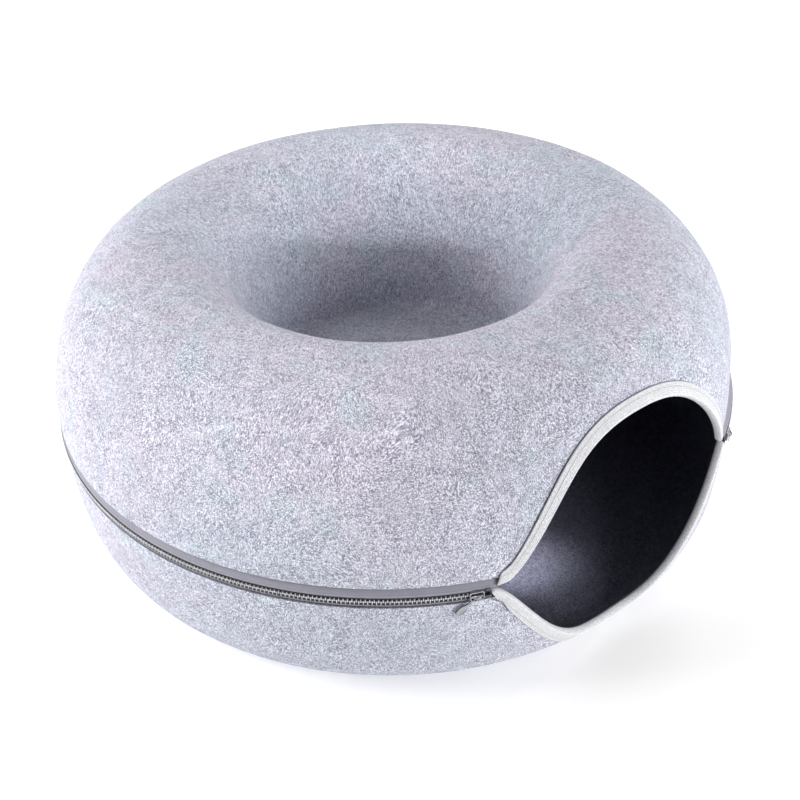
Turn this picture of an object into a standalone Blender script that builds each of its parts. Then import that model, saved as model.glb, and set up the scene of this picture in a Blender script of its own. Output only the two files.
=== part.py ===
"""Donut cat tunnel: two moulded felt half shells, joined by a zip round the rim, with one bound entrance.

Azimuths are measured from -Y, growing towards +X. Heights are above the floor. A meridian is the
line that a shell's outer face follows from the zip plane over its crest, or under its base, to the axis.
"""

import math

import bmesh
import bpy
import numpy as np
from mathutils import Matrix, Vector

MM = 0.001

# The ring
RING_RADIUS = 300 * MM          # outermost face of the zip
HEIGHT = 250 * MM
ZIP_HEIGHT = 110 * MM
CREST_RADIUS = 194 * MM
BASE_OUTER_RADIUS = 236 * MM    # the flat ring that the tunnel stands on
BASE_INNER_RADIUS = 168 * MM
FELT = 4 * MM
GAP = 0.3 * MM                  # between pieces that touch

# The well in the middle, and the hub under it
WELL_RADIUS = 119 * MM
WELL_THROAT_HEIGHT = 120 * MM
WELL_FLOOR_RADIUS = 119 * MM
WELL_FLOOR_HEIGHT = 103.6 * MM
HUB_THROAT_HEIGHT = 82 * MM

# How square each quarter of the section is: 2 is an ellipse
UPPER_WALL_POWER = 2.106
WELL_POWER = 2.25
LOWER_WALL_POWER = 3.77
HUB_POWER = 2.6

# The zip band between the two felt edges
RIM_STEP = 1.2 * MM             # the felt's face lies this far inside the zip's face
UPPER_FELT_RISE = 11.5 * MM     # from the zip plane to the upper felt's edge
LOWER_FELT_RISE = 6.8 * MM
TAPE_THICKNESS = 0.6 * MM
TAPE_LAP = 6 * MM               # sewn behind the felt
TAPE_RECESS = 0.9 * MM          # tape's face behind the teeth's face
TAPE_STRAIGHT_RISE = 4.9 * MM   # the tape stands upright to here, then slopes in
TAPE_BEND_DROP = 0.5 * MM       # the bend behind the felt lies below the felt's edge
CHAIN_THICKNESS = 2.4 * MM
CHAIN_RISE = 2.9 * MM           # from the zip plane to the back of a row of teeth
TOOTH_PITCH = 3.18 * MM
TOOTH_TIP_REACH = 0.7 * MM      # past the zip plane
TOOTH_SEAT_CLEARANCE = 0.5 * MM
PITCHES_PER_SPAN = 4            # teeth between two points of a row's back

# The entrance, from its highest point to each corner along the rim
ENTRANCE_AZIMUTH = math.radians(38.4)
ENTRANCE_LEFT = 137 * MM
ENTRANCE_RIGHT = 133.5 * MM
ARCH_RISE = 97 * MM
ARCH_DEPTH = 97 * MM
CORNER_RISE = 1.5 * MM
BINDING_WIDTH = 9.6 * MM
BINDING_THICKNESS = 0.8 * MM
BINDING_FELT_LAP = 2.5 * MM     # the least of the felt that the binding covers

# Each quarter of the entrance's edge: how square it is, then its slope's power at the middle and what
# the corner adds to that
UPPER_LEFT_POWERS = (1.86, 0.5, 1.27)
UPPER_RIGHT_POWERS = (2.18, 0.5, 0.74)
LOWER_LEFT_POWERS = (3.1, 1.88, 0.0)
LOWER_RIGHT_POWERS = (1.5, 1.05, 0.0)

# The sliders, drawn along the chain (run), out from the chain's face (out) and up (rise)
SLIDER_LENGTH = 11 * MM
SLIDER_SECTION_SHARES = (-0.5, -0.4, 0.3, 0.5)      # where its plates are drawn, along its length
SLIDER_REAR_HALF_WIDTH = 4 * MM
SLIDER_FRONT_HALF_WIDTH = 4.3 * MM
SLIDER_WALL = 1 * MM
SLIDER_LIP = 0.5 * MM
SLIDER_DOME = 0.3 * MM
SLIDER_SLOT_SLACK = 0.35 * MM   # between the lips and the tape, on either side
SLIDER_SETBACK = 6 * MM         # from the slider's nose to the entrance
CROWN_THICKNESS = 0.9 * MM
CROWN_HALF_WIDTH = 0.45 * MM
CROWN_HALF_SPAN = 2.6 * MM
CROWN_FOOT = 1.1 * MM
CROWN_POWER = 0.5               # how square the bridge is
PULL_THICKNESS = 0.9 * MM
PULL_LENGTH = 19 * MM
PULL_HEAD_WIDTH = 5.8 * MM
PULL_NECK_WIDTH = 3.6 * MM
PULL_TAIL_WIDTH = 6.6 * MM
PULL_EYE_WIDTH = 4.2 * MM
PULL_EYE_LENGTH = 3.4 * MM
PULL_WEB = 0.9 * MM
PULL_SWAY = math.radians(45)    # from hanging straight down
PULL_LEAN = math.radians(3)     # towards the ring
PULL_RUN = 1 * MM               # the pull's pivot, from the middle of the crown
PULL_RISE = 0.4 * MM
STOP_LENGTH = 3.6 * MM
STOP_WALL = 0.6 * MM
STOP_GRIP = 1.3 * MM            # how much of the tape's edge a stop holds

# How finely round shapes are cut
ENTRANCE_COLUMNS = 22
RING_COLUMNS = 46
ARCH_STEPS = 180
MERIDIAN_STEPS = 90
SAME_POINT = 0.003 * MM         # closer points of a meridian count as one
MITRE_REACH = 0.03 * MM         # how far to each side a corner is looked for
TURN_LENGTH = 60 * MM           # a bend of one radian counts as this much length when rows are spaced
UPPER_CROWN_ROWS = 6
UPPER_WELL_ROWS = 5
LOWER_WALL_ROWS = 5
LOWER_HUB_ROWS = 4
CROWN_STEPS = 8
TAIL_STEPS = 8

FELT_RADIUS = RING_RADIUS - RIM_STEP
TAPE_RADIUS = RING_RADIUS - TAPE_RECESS
CHAIN_RADIUS = RING_RADIUS - CHAIN_THICKNESS / 2
ENTRANCE_START = ENTRANCE_AZIMUTH - ENTRANCE_LEFT / RING_RADIUS
ENTRANCE_END = ENTRANCE_AZIMUTH + ENTRANCE_RIGHT / RING_RADIUS
ENTRANCE_TURN = ENTRANCE_END - ENTRANCE_START
RING_TURN = 2 * math.pi - ENTRANCE_TURN
FACET_SAG = RING_RADIUS * (1 - math.cos(RING_TURN / RING_COLUMNS / 2))
HUB_DISC_HEIGHT = WELL_FLOOR_HEIGHT - 2 * FELT - GAP
HINGE_AZIMUTH = ENTRANCE_END + RING_TURN / 2
UP, DOWN = 1, -1


def material(name, colour, roughness, metallic=0.0):
    made = bpy.data.materials.new(name)
    made.use_nodes = True
    shader = made.node_tree.nodes["Principled BSDF"]
    shader.inputs["Base Color"].default_value = (*colour, 1)
    shader.inputs["Roughness"].default_value = roughness
    shader.inputs["Metallic"].default_value = metallic
    made.diffuse_color = (*colour, 1)
    return made


def ring_point(radius, azimuth, height):
    return Vector((radius * math.sin(azimuth), -radius * math.cos(azimuth), height))


def quarter(centre, half_width, half_height, power, start, end):
    """A quarter of a superellipse as (radius, height) points, between two angles."""
    points = []
    for i in range(MERIDIAN_STEPS + 1):
        angle = start + (end - start) * i / MERIDIAN_STEPS
        across, along = max(math.cos(angle), 0.0), max(math.sin(angle), 0.0)
        points.append((centre[0] + half_width * across ** (2 / power),
                       centre[1] + half_height * along ** (2 / power)))
    return points


class Meridian:
    """A shell's outer face in section, measured by the length run from the zip plane."""

    def __init__(self, points, side, felt_rise):
        self.points = [points[0]]
        self.runs = [0.0]
        self.loads = [0.0]
        self.side = side
        self.felt_rise = felt_rise
        heading = None
        for point in points[1:]:
            step = math.dist(point, self.points[-1])
            if step > SAME_POINT:
                turned = math.atan2(point[1] - self.points[-1][1], point[0] - self.points[-1][0])
                bend = 0.0 if heading is None else abs(math.remainder(turned - heading, 2 * math.pi))
                heading = turned
                self.points.append(point)
                self.runs.append(self.runs[-1] + step)
                self.loads.append(self.loads[-1] + step + TURN_LENGTH * bend)

    def span(self, run):
        """The number of the straight piece that holds this run."""
        low, high = 0, len(self.runs) - 2
        while low < high:
            middle = (low + high + 1) // 2
            if self.runs[middle] <= run:
                low = middle
            else:
                high = middle - 1
        return low

    def normal(self, span):
        (r0, z0), (r1, z1) = self.points[span], self.points[span + 1]
        length = math.dist((r0, z0), (r1, z1))
        return self.side * (z1 - z0) / length, -self.side * (r1 - r0) / length

    def at(self, run, out=0.0):
        """The point at this run, moved out along the face's normal, which a corner mitres."""
        span = self.span(run)
        share = (run - self.runs[span]) / (self.runs[span + 1] - self.runs[span])
        (r0, z0), (r1, z1) = self.points[span], self.points[span + 1]
        before = self.normal(self.span(max(run - MITRE_REACH, 0.0)))
        after = self.normal(self.span(run + MITRE_REACH))
        spread = 1 + before[0] * after[0] + before[1] * after[1]
        normal = [(a + b) / spread for a, b in zip(before, after)]
        return (r0 + (r1 - r0) * share + out * normal[0],
                z0 + (z1 - z0) * share + out * normal[1])

    def run_at(self, radius, height):
        """The run of the point nearest to this one."""
        nearest = min(range(len(self.points)), key=lambda i: math.dist(self.points[i], (radius, height)))
        return self.runs[nearest]

    def spaced(self, start, end, steps):
        """Runs from one to another, without the first, closer together where the line bends."""
        first, last = (float(np.interp(run, self.runs, self.loads)) for run in (start, end))
        loads = [first + (last - first) * i / steps for i in range(1, steps)]
        return [*(float(np.interp(load, self.loads, self.runs)) for load in loads), end]

    def run_at_rise(self, rise):
        """The run at which the wall is this far from the zip plane."""
        for i in range(1, len(self.points)):
            before, after = (abs(self.points[j][1] - ZIP_HEIGHT) for j in (i - 1, i))
            if after >= rise:
                share = (rise - before) / (after - before)
                return self.runs[i - 1] + share * (self.runs[i] - self.runs[i - 1])
        return self.runs[-1]


def upper_meridian():
    wall = quarter((CREST_RADIUS, ZIP_HEIGHT), FELT_RADIUS - CREST_RADIUS, HEIGHT - ZIP_HEIGHT,
                   UPPER_WALL_POWER, 0, math.pi / 2)
    well = quarter((CREST_RADIUS, WELL_THROAT_HEIGHT), WELL_RADIUS - CREST_RADIUS,
                   HEIGHT - WELL_THROAT_HEIGHT, WELL_POWER, math.pi / 2, 0)
    floor = [(WELL_FLOOR_RADIUS, WELL_FLOOR_HEIGHT), (0.0, WELL_FLOOR_HEIGHT)]
    return Meridian(wall + well + floor, UP, UPPER_FELT_RISE)


def lower_meridian():
    wall = quarter((BASE_OUTER_RADIUS, ZIP_HEIGHT), FELT_RADIUS - BASE_OUTER_RADIUS, -ZIP_HEIGHT,
                   LOWER_WALL_POWER, 0, math.pi / 2)
    hub = quarter((BASE_INNER_RADIUS, HUB_THROAT_HEIGHT), WELL_RADIUS - BASE_INNER_RADIUS,
                  -HUB_THROAT_HEIGHT, HUB_POWER, math.pi / 2, 0)
    disc = [(WELL_FLOOR_RADIUS, HUB_DISC_HEIGHT), (0.0, HUB_DISC_HEIGHT)]
    return Meridian(wall + hub + disc, DOWN, LOWER_FELT_RISE)


def arch_rise(azimuth, side):
    """How far the entrance's edge stands from the zip plane."""
    turn = azimuth - ENTRANCE_AZIMUTH
    if side == UP:
        height = ARCH_RISE
        powers = UPPER_LEFT_POWERS if turn < 0 else UPPER_RIGHT_POWERS
    else:
        height = ARCH_DEPTH
        powers = LOWER_LEFT_POWERS if turn < 0 else LOWER_RIGHT_POWERS
    reach = ENTRANCE_LEFT if turn < 0 else ENTRANCE_RIGHT
    share = min(abs(turn) * RING_RADIUS / reach, 1.0)
    power = powers[1] + powers[2] * share ** 2
    return CORNER_RISE + (height - CORNER_RISE) * (1 - share ** powers[0]) ** power


def arch_run(meridian, azimuth):
    return meridian.run_at_rise(arch_rise(azimuth, meridian.side))


def bound_runs(meridian, azimuth):
    """Runs of the bound edge, of the felt's edge, and of the middle and end of the binding's leg.

    The leg is longer where the edge is steep, so that the tape stays equally wide across itself.
    """
    step = ENTRANCE_TURN / ENTRANCE_COLUMNS
    low, high = max(azimuth - step, ENTRANCE_START), min(azimuth + step, ENTRANCE_END)
    climb = arch_run(meridian, high) - arch_run(meridian, low)
    edge = arch_run(meridian, azimuth)
    felt = max(edge, meridian.run_at_rise(meridian.felt_rise))
    reach = edge + BINDING_WIDTH * math.hypot(1, climb / (RING_RADIUS * (high - low)))
    reach = max(reach, felt + BINDING_FELT_LAP)
    return edge, felt, (felt + reach) / 2, reach


def entrance_columns():
    """Azimuths across the entrance, evenly spaced along its upper edge."""
    azimuths = [ENTRANCE_START + ENTRANCE_TURN * i / ARCH_STEPS for i in range(ARCH_STEPS + 1)]
    lengths = [0.0]
    for low, high in zip(azimuths, azimuths[1:]):
        climb = arch_rise(high, UP) - arch_rise(low, UP)
        lengths.append(lengths[-1] + math.hypot(RING_RADIUS * (high - low), climb))
    wanted = [lengths[-1] * i / ENTRANCE_COLUMNS for i in range(1, ENTRANCE_COLUMNS)]
    inner = [float(np.interp(length, lengths, azimuths)) for length in wanted]
    return [ENTRANCE_START, *inner, ENTRANCE_END]


def ring_columns(start, end):
    """Azimuths from the entrance's right corner round the back to its left one, with trimmed ends."""
    inner = [ENTRANCE_END + RING_TURN * i / RING_COLUMNS for i in range(1, RING_COLUMNS)]
    return [start, *(azimuth for azimuth in inner if start < azimuth < end), end]


def new_object(name, faces_of, surface, parent=None):
    """An object from (points, faces), with its normals turned out."""
    points, faces = faces_of
    mesh = bpy.data.meshes.new(name)
    mesh.from_pydata([tuple(point) for point in points], [], faces)
    shape = bmesh.new()
    shape.from_mesh(mesh)
    bmesh.ops.recalc_face_normals(shape, faces=shape.faces)
    shape.to_mesh(mesh)
    shape.free()
    mesh.materials.append(surface)
    mesh.shade_smooth()
    mesh.set_sharp_from_angle(angle=math.radians(40))
    made = bpy.data.objects.new(name, mesh)
    bpy.context.scene.collection.objects.link(made)
    made.parent = parent
    return made


def empty(name, matrix, parent=None):
    made = bpy.data.objects.new(name, None)
    bpy.context.scene.collection.objects.link(made)
    made.parent = parent
    made.matrix_world = matrix
    bpy.context.view_layer.update()
    return made


def keep_place(child, parent):
    child.parent = parent
    child.matrix_parent_inverse = parent.matrix_world.inverted()


def cut_quad(low, high, next_high, next_low, runs):
    """Two triangles, cut from corner to corner where the runs differ least.

    Pieces that lie on each other are cut alike by this, and so never cross.
    """
    if abs(runs[low] - runs[next_high]) <= abs(runs[high] - runs[next_low]):
        return [(low, high, next_high), (low, next_high, next_low)]
    return [(low, high, next_low), (high, next_high, next_low)]


def lofted(sections):
    """Points and faces of a bar through equal sections, each a ring of points, with flat ends."""
    size = len(sections[0])
    points = [point for section in sections for point in section]
    faces = [tuple(range(size)), tuple(range(len(points) - size, len(points)))]
    for here in range(0, len(points) - size, size):
        for j in range(size):
            k = (j + 1) % size
            faces.append((here + j, here + k, here + size + k, here + size + j))
    return points, faces


def felt_shell(name, meridian, marks, surface):
    """A half shell: columns of points on both faces, from its edge to the rim of its middle disc."""
    entrance = entrance_columns()
    columns = entrance + ring_columns(ENTRANCE_END, ENTRANCE_START + 2 * math.pi)[1:-1]
    points, runs = [], []
    for azimuth in columns:
        if azimuth <= entrance[-1]:
            column = list(bound_runs(meridian, azimuth)[1:])
        else:
            edge = meridian.run_at_rise(meridian.felt_rise)
            column = [edge, edge + BINDING_WIDTH / 2, edge + BINDING_WIDTH]
        for mark, steps in marks:
            column += meridian.spaced(column[-1], mark, steps)
        for out in (0.0, -FELT):
            for run in column:
                radius, level = meridian.at(run, out)
                points.append(ring_point(radius, azimuth, level))
        runs += column * 2
    size = len(column)
    faces = []
    for i in range(len(columns)):
        here, there = 2 * size * i, 2 * size * ((i + 1) % len(columns))
        for j in range(size - 1):
            for face in (0, size):
                a, b = here + face + j, there + face + j
                faces += cut_quad(a, a + 1, b + 1, b, runs)
        faces.append((here, there, there + size, here + size))
    for offset in (size - 1, 2 * size - 1):
        faces.append(tuple(2 * size * i + offset for i in range(len(columns))))
    return new_object(name, (points, faces), surface)


def binding(name, meridian, surface):
    """Tape folded over the entrance's felt edge: a leg on each face, joined round the edge."""
    near, far = GAP, GAP + BINDING_THICKNESS
    points, runs = [], []
    for azimuth in entrance_columns():
        edge, _, middle, reach = bound_runs(meridian, azimuth)
        outline = [(reach, near), (reach, far), (middle, far), (edge, far), (edge - far, near),
                   (edge - far, -FELT - near), (edge, -FELT - far), (middle, -FELT - far),
                   (reach, -FELT - far), (reach, -FELT - near), (middle, -FELT - near),
                   (edge - near, -FELT - near), (edge - near, near), (middle, near)]
        for run, out in outline:
            radius, level = meridian.at(run, out)
            points.append(ring_point(radius, azimuth, level))
            runs.append(run)
    size = len(outline)
    faces = [tuple(range(size)), tuple(range(len(points) - size, len(points)))]
    for here in range(0, len(points) - size, size):
        for j in range(size):
            k = (j + 1) % size
            faces += cut_quad(here + j, here + k, here + size + k, here + size + j, runs)
    return new_object(name, (points, faces), surface)


def zip_tape(name, meridian, surface):
    """Half of the zip's tape: upright beside the teeth, then sloping in to its lap behind the felt."""
    side = meridian.side
    edge = meridian.run_at_rise(meridian.felt_rise - TAPE_BEND_DROP)
    lap_end = meridian.run_at_rise(meridian.felt_rise) + TAPE_LAP
    face, back = -FELT - GAP, -FELT - GAP - TAPE_THICKNESS
    inner_edge = ZIP_HEIGHT + side * (CHAIN_RISE + GAP)
    bend = ZIP_HEIGHT + side * TAPE_STRAIGHT_RISE
    back_bend = bend - side * TAPE_THICKNESS / 2
    outline = [(TAPE_RADIUS, inner_edge), (TAPE_RADIUS, bend), meridian.at(edge, face),
               meridian.at(lap_end, face), meridian.at(lap_end, back), meridian.at(edge, back),
               (TAPE_RADIUS - TAPE_THICKNESS, back_bend), (TAPE_RADIUS - TAPE_THICKNESS, inner_edge)]
    trim = GAP / RING_RADIUS
    columns = ring_columns(ENTRANCE_END + trim, ENTRANCE_START + 2 * math.pi - trim)
    sections = [[ring_point(r, azimuth, z) for r, z in outline] for azimuth in columns]
    return new_object(name, lofted(sections), surface)


def zip_teeth(name, side, surface):
    """A row of teeth from one slider's nose round to the other's, on the cord that carries them."""
    start = SLIDER_AZIMUTHS["right"] - HALF_SLIDER
    end = SLIDER_AZIMUTHS["left"] + 2 * math.pi + HALF_SLIDER
    spans = round((end - start) * CHAIN_RADIUS / TOOTH_PITCH / PITCHES_PER_SPAN)
    pitches = spans * PITCHES_PER_SPAN
    pitch = (end - start) / pitches
    tip = ZIP_HEIGHT - side * TOOTH_TIP_REACH
    seat = ZIP_HEIGHT + side * (TOOTH_TIP_REACH + TOOTH_SEAT_CLEARANCE)
    first, second = (seat, tip) if side == UP else (tip, seat)
    back = ZIP_HEIGHT + side * CHAIN_RISE
    points = []
    for i in range(2 * pitches + 1):
        height = first if i % 2 == 0 else second
        points.append(ring_point(CHAIN_RADIUS, start + pitch * i / 2, height))
    faces = []
    outer_row = len(points)
    for i in range(spans + 1):
        azimuth = start + pitch * PITCHES_PER_SPAN * i
        points.append(ring_point(RING_RADIUS, azimuth, back))
        points.append(ring_point(RING_RADIUS - CHAIN_THICKNESS, azimuth, back))
    for i in range(spans):
        first_point = 2 * PITCHES_PER_SPAN * i
        teeth = list(range(first_point, first_point + 2 * PITCHES_PER_SPAN + 1))
        corner = outer_row + 2 * i
        faces.append((corner, *teeth, corner + 2))
        faces.append((corner + 1, *teeth, corner + 3))
        faces.append((corner, corner + 1, corner + 3, corner + 2))
    last = outer_row + 2 * spans
    faces.append((0, outer_row, outer_row + 1))
    faces.append((2 * pitches, last, last + 1))
    return new_object(name, (points, faces), surface)


def end_stop(name, azimuth, side, surface):
    """A clip closed over the tape's bare edge, past the last tooth."""
    half = STOP_LENGTH / 2 / RING_RADIUS
    slot_face = TAPE_RADIUS + GAP
    slot_back = TAPE_RADIUS - TAPE_THICKNESS - FACET_SAG - GAP
    tape_edge = CHAIN_RISE + GAP
    low, seat, high = tape_edge - GAP - STOP_WALL, tape_edge - GAP, tape_edge + STOP_GRIP
    outline = [(slot_face + STOP_WALL, low), (slot_face + STOP_WALL, high), (slot_face, high),
               (slot_face, seat), (slot_back, seat), (slot_back, high),
               (slot_back - STOP_WALL, high), (slot_back - STOP_WALL, low)]
    sections = [[ring_point(r, azimuth + turn, ZIP_HEIGHT + side * rise) for r, rise in outline]
                for turn in (-half, half)]
    return new_object(name, lofted(sections), surface)


def slider_plate(name, out_from, out_to, lip_to, forward, surface):
    """One plate of a slider's body, lofted from its narrow rear to its nose, with a lip on each side."""
    half_widths = (SLIDER_REAR_HALF_WIDTH - SLIDER_DOME, SLIDER_REAR_HALF_WIDTH,
                   SLIDER_FRONT_HALF_WIDTH, SLIDER_FRONT_HALF_WIDTH - SLIDER_DOME)
    dome = math.copysign(SLIDER_DOME, out_to - out_from)
    sections = []
    for share, half in zip(SLIDER_SECTION_SHARES, half_widths):
        run = forward * share * SLIDER_LENGTH
        lip = half - SLIDER_LIP
        outline = [(out_to, -half), (out_to + dome, 0.0), (out_to, half), (lip_to, half),
                   (lip_to, lip), (out_from, lip), (out_from, -lip), (lip_to, -lip), (lip_to, -half)]
        sections.append([(run, out, rise) for out, rise in outline])
    return new_object(name, lofted(sections), surface)


def crown(name, foot_out, surface):
    """The bridge over a slider's front plate, which the pull's eye goes round."""
    under = foot_out + PULL_THICKNESS + GAP
    outer_span = CROWN_HALF_SPAN + CROWN_FOOT / 2
    inner_span = CROWN_HALF_SPAN - CROWN_FOOT / 2
    outer, inner = [(-outer_span, foot_out)], [(-inner_span, foot_out)]
    for i in range(CROWN_STEPS + 1):
        angle = math.pi * (1 - i / CROWN_STEPS)
        lift = math.sin(angle) ** CROWN_POWER
        outer.append((outer_span * math.cos(angle), under + CROWN_THICKNESS * lift))
        inner.append((inner_span * math.cos(angle), under - GAP * (1 - lift)))
    outer.append((outer_span, foot_out))
    inner.append((inner_span, foot_out))
    sections = []
    for (run_a, out_a), (run_b, out_b) in zip(outer, inner):
        sections.append([(run_a, out_a, -CROWN_HALF_WIDTH), (run_a, out_a, CROWN_HALF_WIDTH),
                         (run_b, out_b, CROWN_HALF_WIDTH), (run_b, out_b, -CROWN_HALF_WIDTH)])
    return new_object(name, lofted(sections), surface)


def pull_tab(name, surface, parent):
    """A leaf shaped pull lying across its pivot: length along X, its eye's web on the Z axis."""
    half_head, half_neck, half_tail = PULL_HEAD_WIDTH / 2, PULL_NECK_WIDTH / 2, PULL_TAIL_WIDTH / 2
    head_start = -PULL_WEB / 2
    head_end = PULL_WEB / 2 + PULL_EYE_LENGTH + PULL_WEB
    tail_middle = head_start + PULL_LENGTH - half_tail
    side = [(head_start, half_head - PULL_WEB / 2), (head_start + PULL_WEB / 2, half_head),
            (head_end - PULL_WEB, half_head), (head_end + PULL_WEB, half_neck)]
    for i in range(TAIL_STEPS + 1):
        angle = math.pi / 2 * (1 - i / TAIL_STEPS)
        side.append((tail_middle + half_tail * math.cos(angle), half_tail * math.sin(angle)))
    outline = side + [(along, -across) for along, across in reversed(side[:-1])]
    half_thick = PULL_THICKNESS / 2
    sections = [[(along, out, across) for along, across in outline] for out in (-half_thick, half_thick)]
    tab = new_object(name, lofted(sections), surface, parent)
    eye = [(PULL_WEB / 2, -PULL_EYE_WIDTH / 2), (PULL_WEB / 2 + PULL_EYE_LENGTH, -PULL_EYE_WIDTH / 2),
           (PULL_WEB / 2 + PULL_EYE_LENGTH, PULL_EYE_WIDTH / 2), (PULL_WEB / 2, PULL_EYE_WIDTH / 2)]
    cuts = [[(along, out, across) for along, across in eye] for out in (-PULL_THICKNESS, PULL_THICKNESS)]
    cutter = new_object(name + "_eye_cutter", lofted(cuts), surface, parent)
    cutter.hide_render = True
    cutter.display_type = "WIRE"
    cut = tab.modifiers.new("eye", "BOOLEAN")
    cut.operation = "DIFFERENCE"
    cut.object = cutter
    return tab


def slider_frame(azimuth):
    """Run along +X (falling azimuth), out along +Y, rise along +Z, from the zip's face at this azimuth."""
    frame = Matrix.Rotation(azimuth + math.pi, 4, "Z")
    frame.translation = ring_point(RING_RADIUS, azimuth, ZIP_HEIGHT)
    return frame


def slider(hand, azimuth, forward, metal, pull_metal):
    """A slider's plates, crown and pull, turned with an empty on the ring's own axis."""
    axis = empty(hand + "_slider_axis", Matrix.Translation((0, 0, ZIP_HEIGHT)))
    plate_back = -CHAIN_THICKNESS - GAP
    tape_back = -TAPE_RECESS - TAPE_THICKNESS
    front_top = GAP + SLIDER_WALL
    crown_foot = front_top + SLIDER_DOME + GAP
    pieces = [
        slider_plate(hand + "_slider_front_plate", GAP, front_top, -TAPE_RECESS + SLIDER_SLOT_SLACK,
                     forward, metal),
        slider_plate(hand + "_slider_back_plate", plate_back, plate_back - SLIDER_WALL,
                     tape_back - FACET_SAG - SLIDER_SLOT_SLACK, forward, metal),
        crown(hand + "_slider_crown", crown_foot, metal),
    ]
    frame = slider_frame(azimuth)
    for piece in pieces:
        piece.data.transform(Matrix.Translation((0, 0, -ZIP_HEIGHT)) @ frame)
        piece.parent = axis
    pivot = Vector((-forward * PULL_RUN, crown_foot + PULL_THICKNESS / 2, PULL_RISE))
    flat = Vector((-forward * math.sin(PULL_SWAY), 0, -math.cos(PULL_SWAY)))
    out = Vector((0, 1, 0))
    reach = flat * math.cos(PULL_LEAN) - out * math.sin(PULL_LEAN)
    across = flat.cross(out)
    turn = Matrix((reach, across.cross(reach), across)).transposed().to_4x4()
    pull_axis = empty(hand + "_pull_axis", frame @ Matrix.Translation(pivot) @ turn, axis)
    pull_tab(hand + "_pull_tab", pull_metal, pull_axis)


HALF_SLIDER = SLIDER_LENGTH / 2 / RING_RADIUS
SLIDER_AZIMUTHS = {
    "left": ENTRANCE_START - (SLIDER_SETBACK / RING_RADIUS + HALF_SLIDER),
    "right": ENTRANCE_END + (SLIDER_SETBACK / RING_RADIUS + HALF_SLIDER),
}


def build():
    for old in list(bpy.data.objects):
        bpy.data.objects.remove(old)
    felt = material("felt", (0.60, 0.60, 0.64), 0.95)
    ribbon = material("binding_tape", (0.78, 0.78, 0.76), 0.8)
    tape = material("zip_tape", (0.30, 0.30, 0.33), 0.85)
    teeth = material("zip_teeth", (0.25, 0.25, 0.27), 0.45)
    metal = material("slider_metal", (0.45, 0.46, 0.48), 0.35, 1.0)
    steel = material("pull_metal", (0.70, 0.71, 0.72), 0.3, 1.0)

    hinge_point = ring_point(RING_RADIUS, HINGE_AZIMUTH, ZIP_HEIGHT)
    lid = empty("lid_hinge", Matrix.Translation(hinge_point))
    upper, lower = upper_meridian(), lower_meridian()
    crest = upper.run_at(CREST_RADIUS, HEIGHT)
    well_edge = upper.run_at(WELL_FLOOR_RADIUS, WELL_FLOOR_HEIGHT)
    base_edge = lower.run_at(BASE_OUTER_RADIUS, 0.0)
    hub_foot = lower.run_at(BASE_INNER_RADIUS, 0.0)
    hub_edge = lower.run_at(WELL_FLOOR_RADIUS, HUB_DISC_HEIGHT)
    upper_marks = [(crest, UPPER_CROWN_ROWS), (well_edge, UPPER_WELL_ROWS)]
    lower_marks = [(base_edge, LOWER_WALL_ROWS), (hub_foot, 1), (hub_edge, LOWER_HUB_ROWS)]

    lid_pieces = [
        felt_shell("upper_shell", upper, upper_marks, felt),
        binding("upper_binding", upper, ribbon),
        zip_tape("upper_zip_tape", upper, tape),
        zip_teeth("upper_zip_teeth", UP, teeth),
    ]
    felt_shell("lower_shell", lower, lower_marks, felt)
    binding("lower_binding", lower, ribbon)
    zip_tape("lower_zip_tape", lower, tape)
    zip_teeth("lower_zip_teeth", DOWN, teeth)

    stop_turn = (SLIDER_SETBACK + SLIDER_LENGTH) / 2 / RING_RADIUS
    for hand, forward in (("left", -1), ("right", 1)):
        azimuth = SLIDER_AZIMUTHS[hand]
        slider(hand, azimuth, forward, metal, steel)
        lid_pieces.append(end_stop("upper_" + hand + "_end_stop", azimuth - forward * stop_turn, UP, teeth))
        end_stop("lower_" + hand + "_end_stop", azimuth - forward * stop_turn, DOWN, teeth)
    for piece in lid_pieces:
        keep_place(piece, lid)


build()
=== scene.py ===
"""Looks of the donut cat tunnel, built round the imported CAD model.

Azimuths are measured from -Y, growing towards +X, as in the CAD source, and runs are lengths along a
shell's outer face from the zip plane. Every length is in metres.
"""

import math

import bpy
import numpy as np
from mathutils import Matrix, Vector


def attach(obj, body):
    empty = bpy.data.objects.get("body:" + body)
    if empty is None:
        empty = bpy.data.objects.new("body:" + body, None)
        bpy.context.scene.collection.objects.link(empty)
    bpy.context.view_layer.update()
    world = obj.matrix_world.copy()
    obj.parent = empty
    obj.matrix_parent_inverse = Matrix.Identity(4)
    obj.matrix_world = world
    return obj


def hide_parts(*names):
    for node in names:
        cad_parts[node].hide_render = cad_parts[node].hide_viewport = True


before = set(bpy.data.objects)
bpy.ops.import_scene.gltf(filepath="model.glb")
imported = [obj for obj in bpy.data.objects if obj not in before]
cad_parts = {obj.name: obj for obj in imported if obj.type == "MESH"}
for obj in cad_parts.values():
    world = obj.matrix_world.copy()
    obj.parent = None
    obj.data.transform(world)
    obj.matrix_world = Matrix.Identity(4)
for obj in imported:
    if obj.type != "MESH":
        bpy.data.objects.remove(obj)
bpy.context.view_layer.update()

MM = 0.001
UP, DOWN = 1, -1

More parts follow.
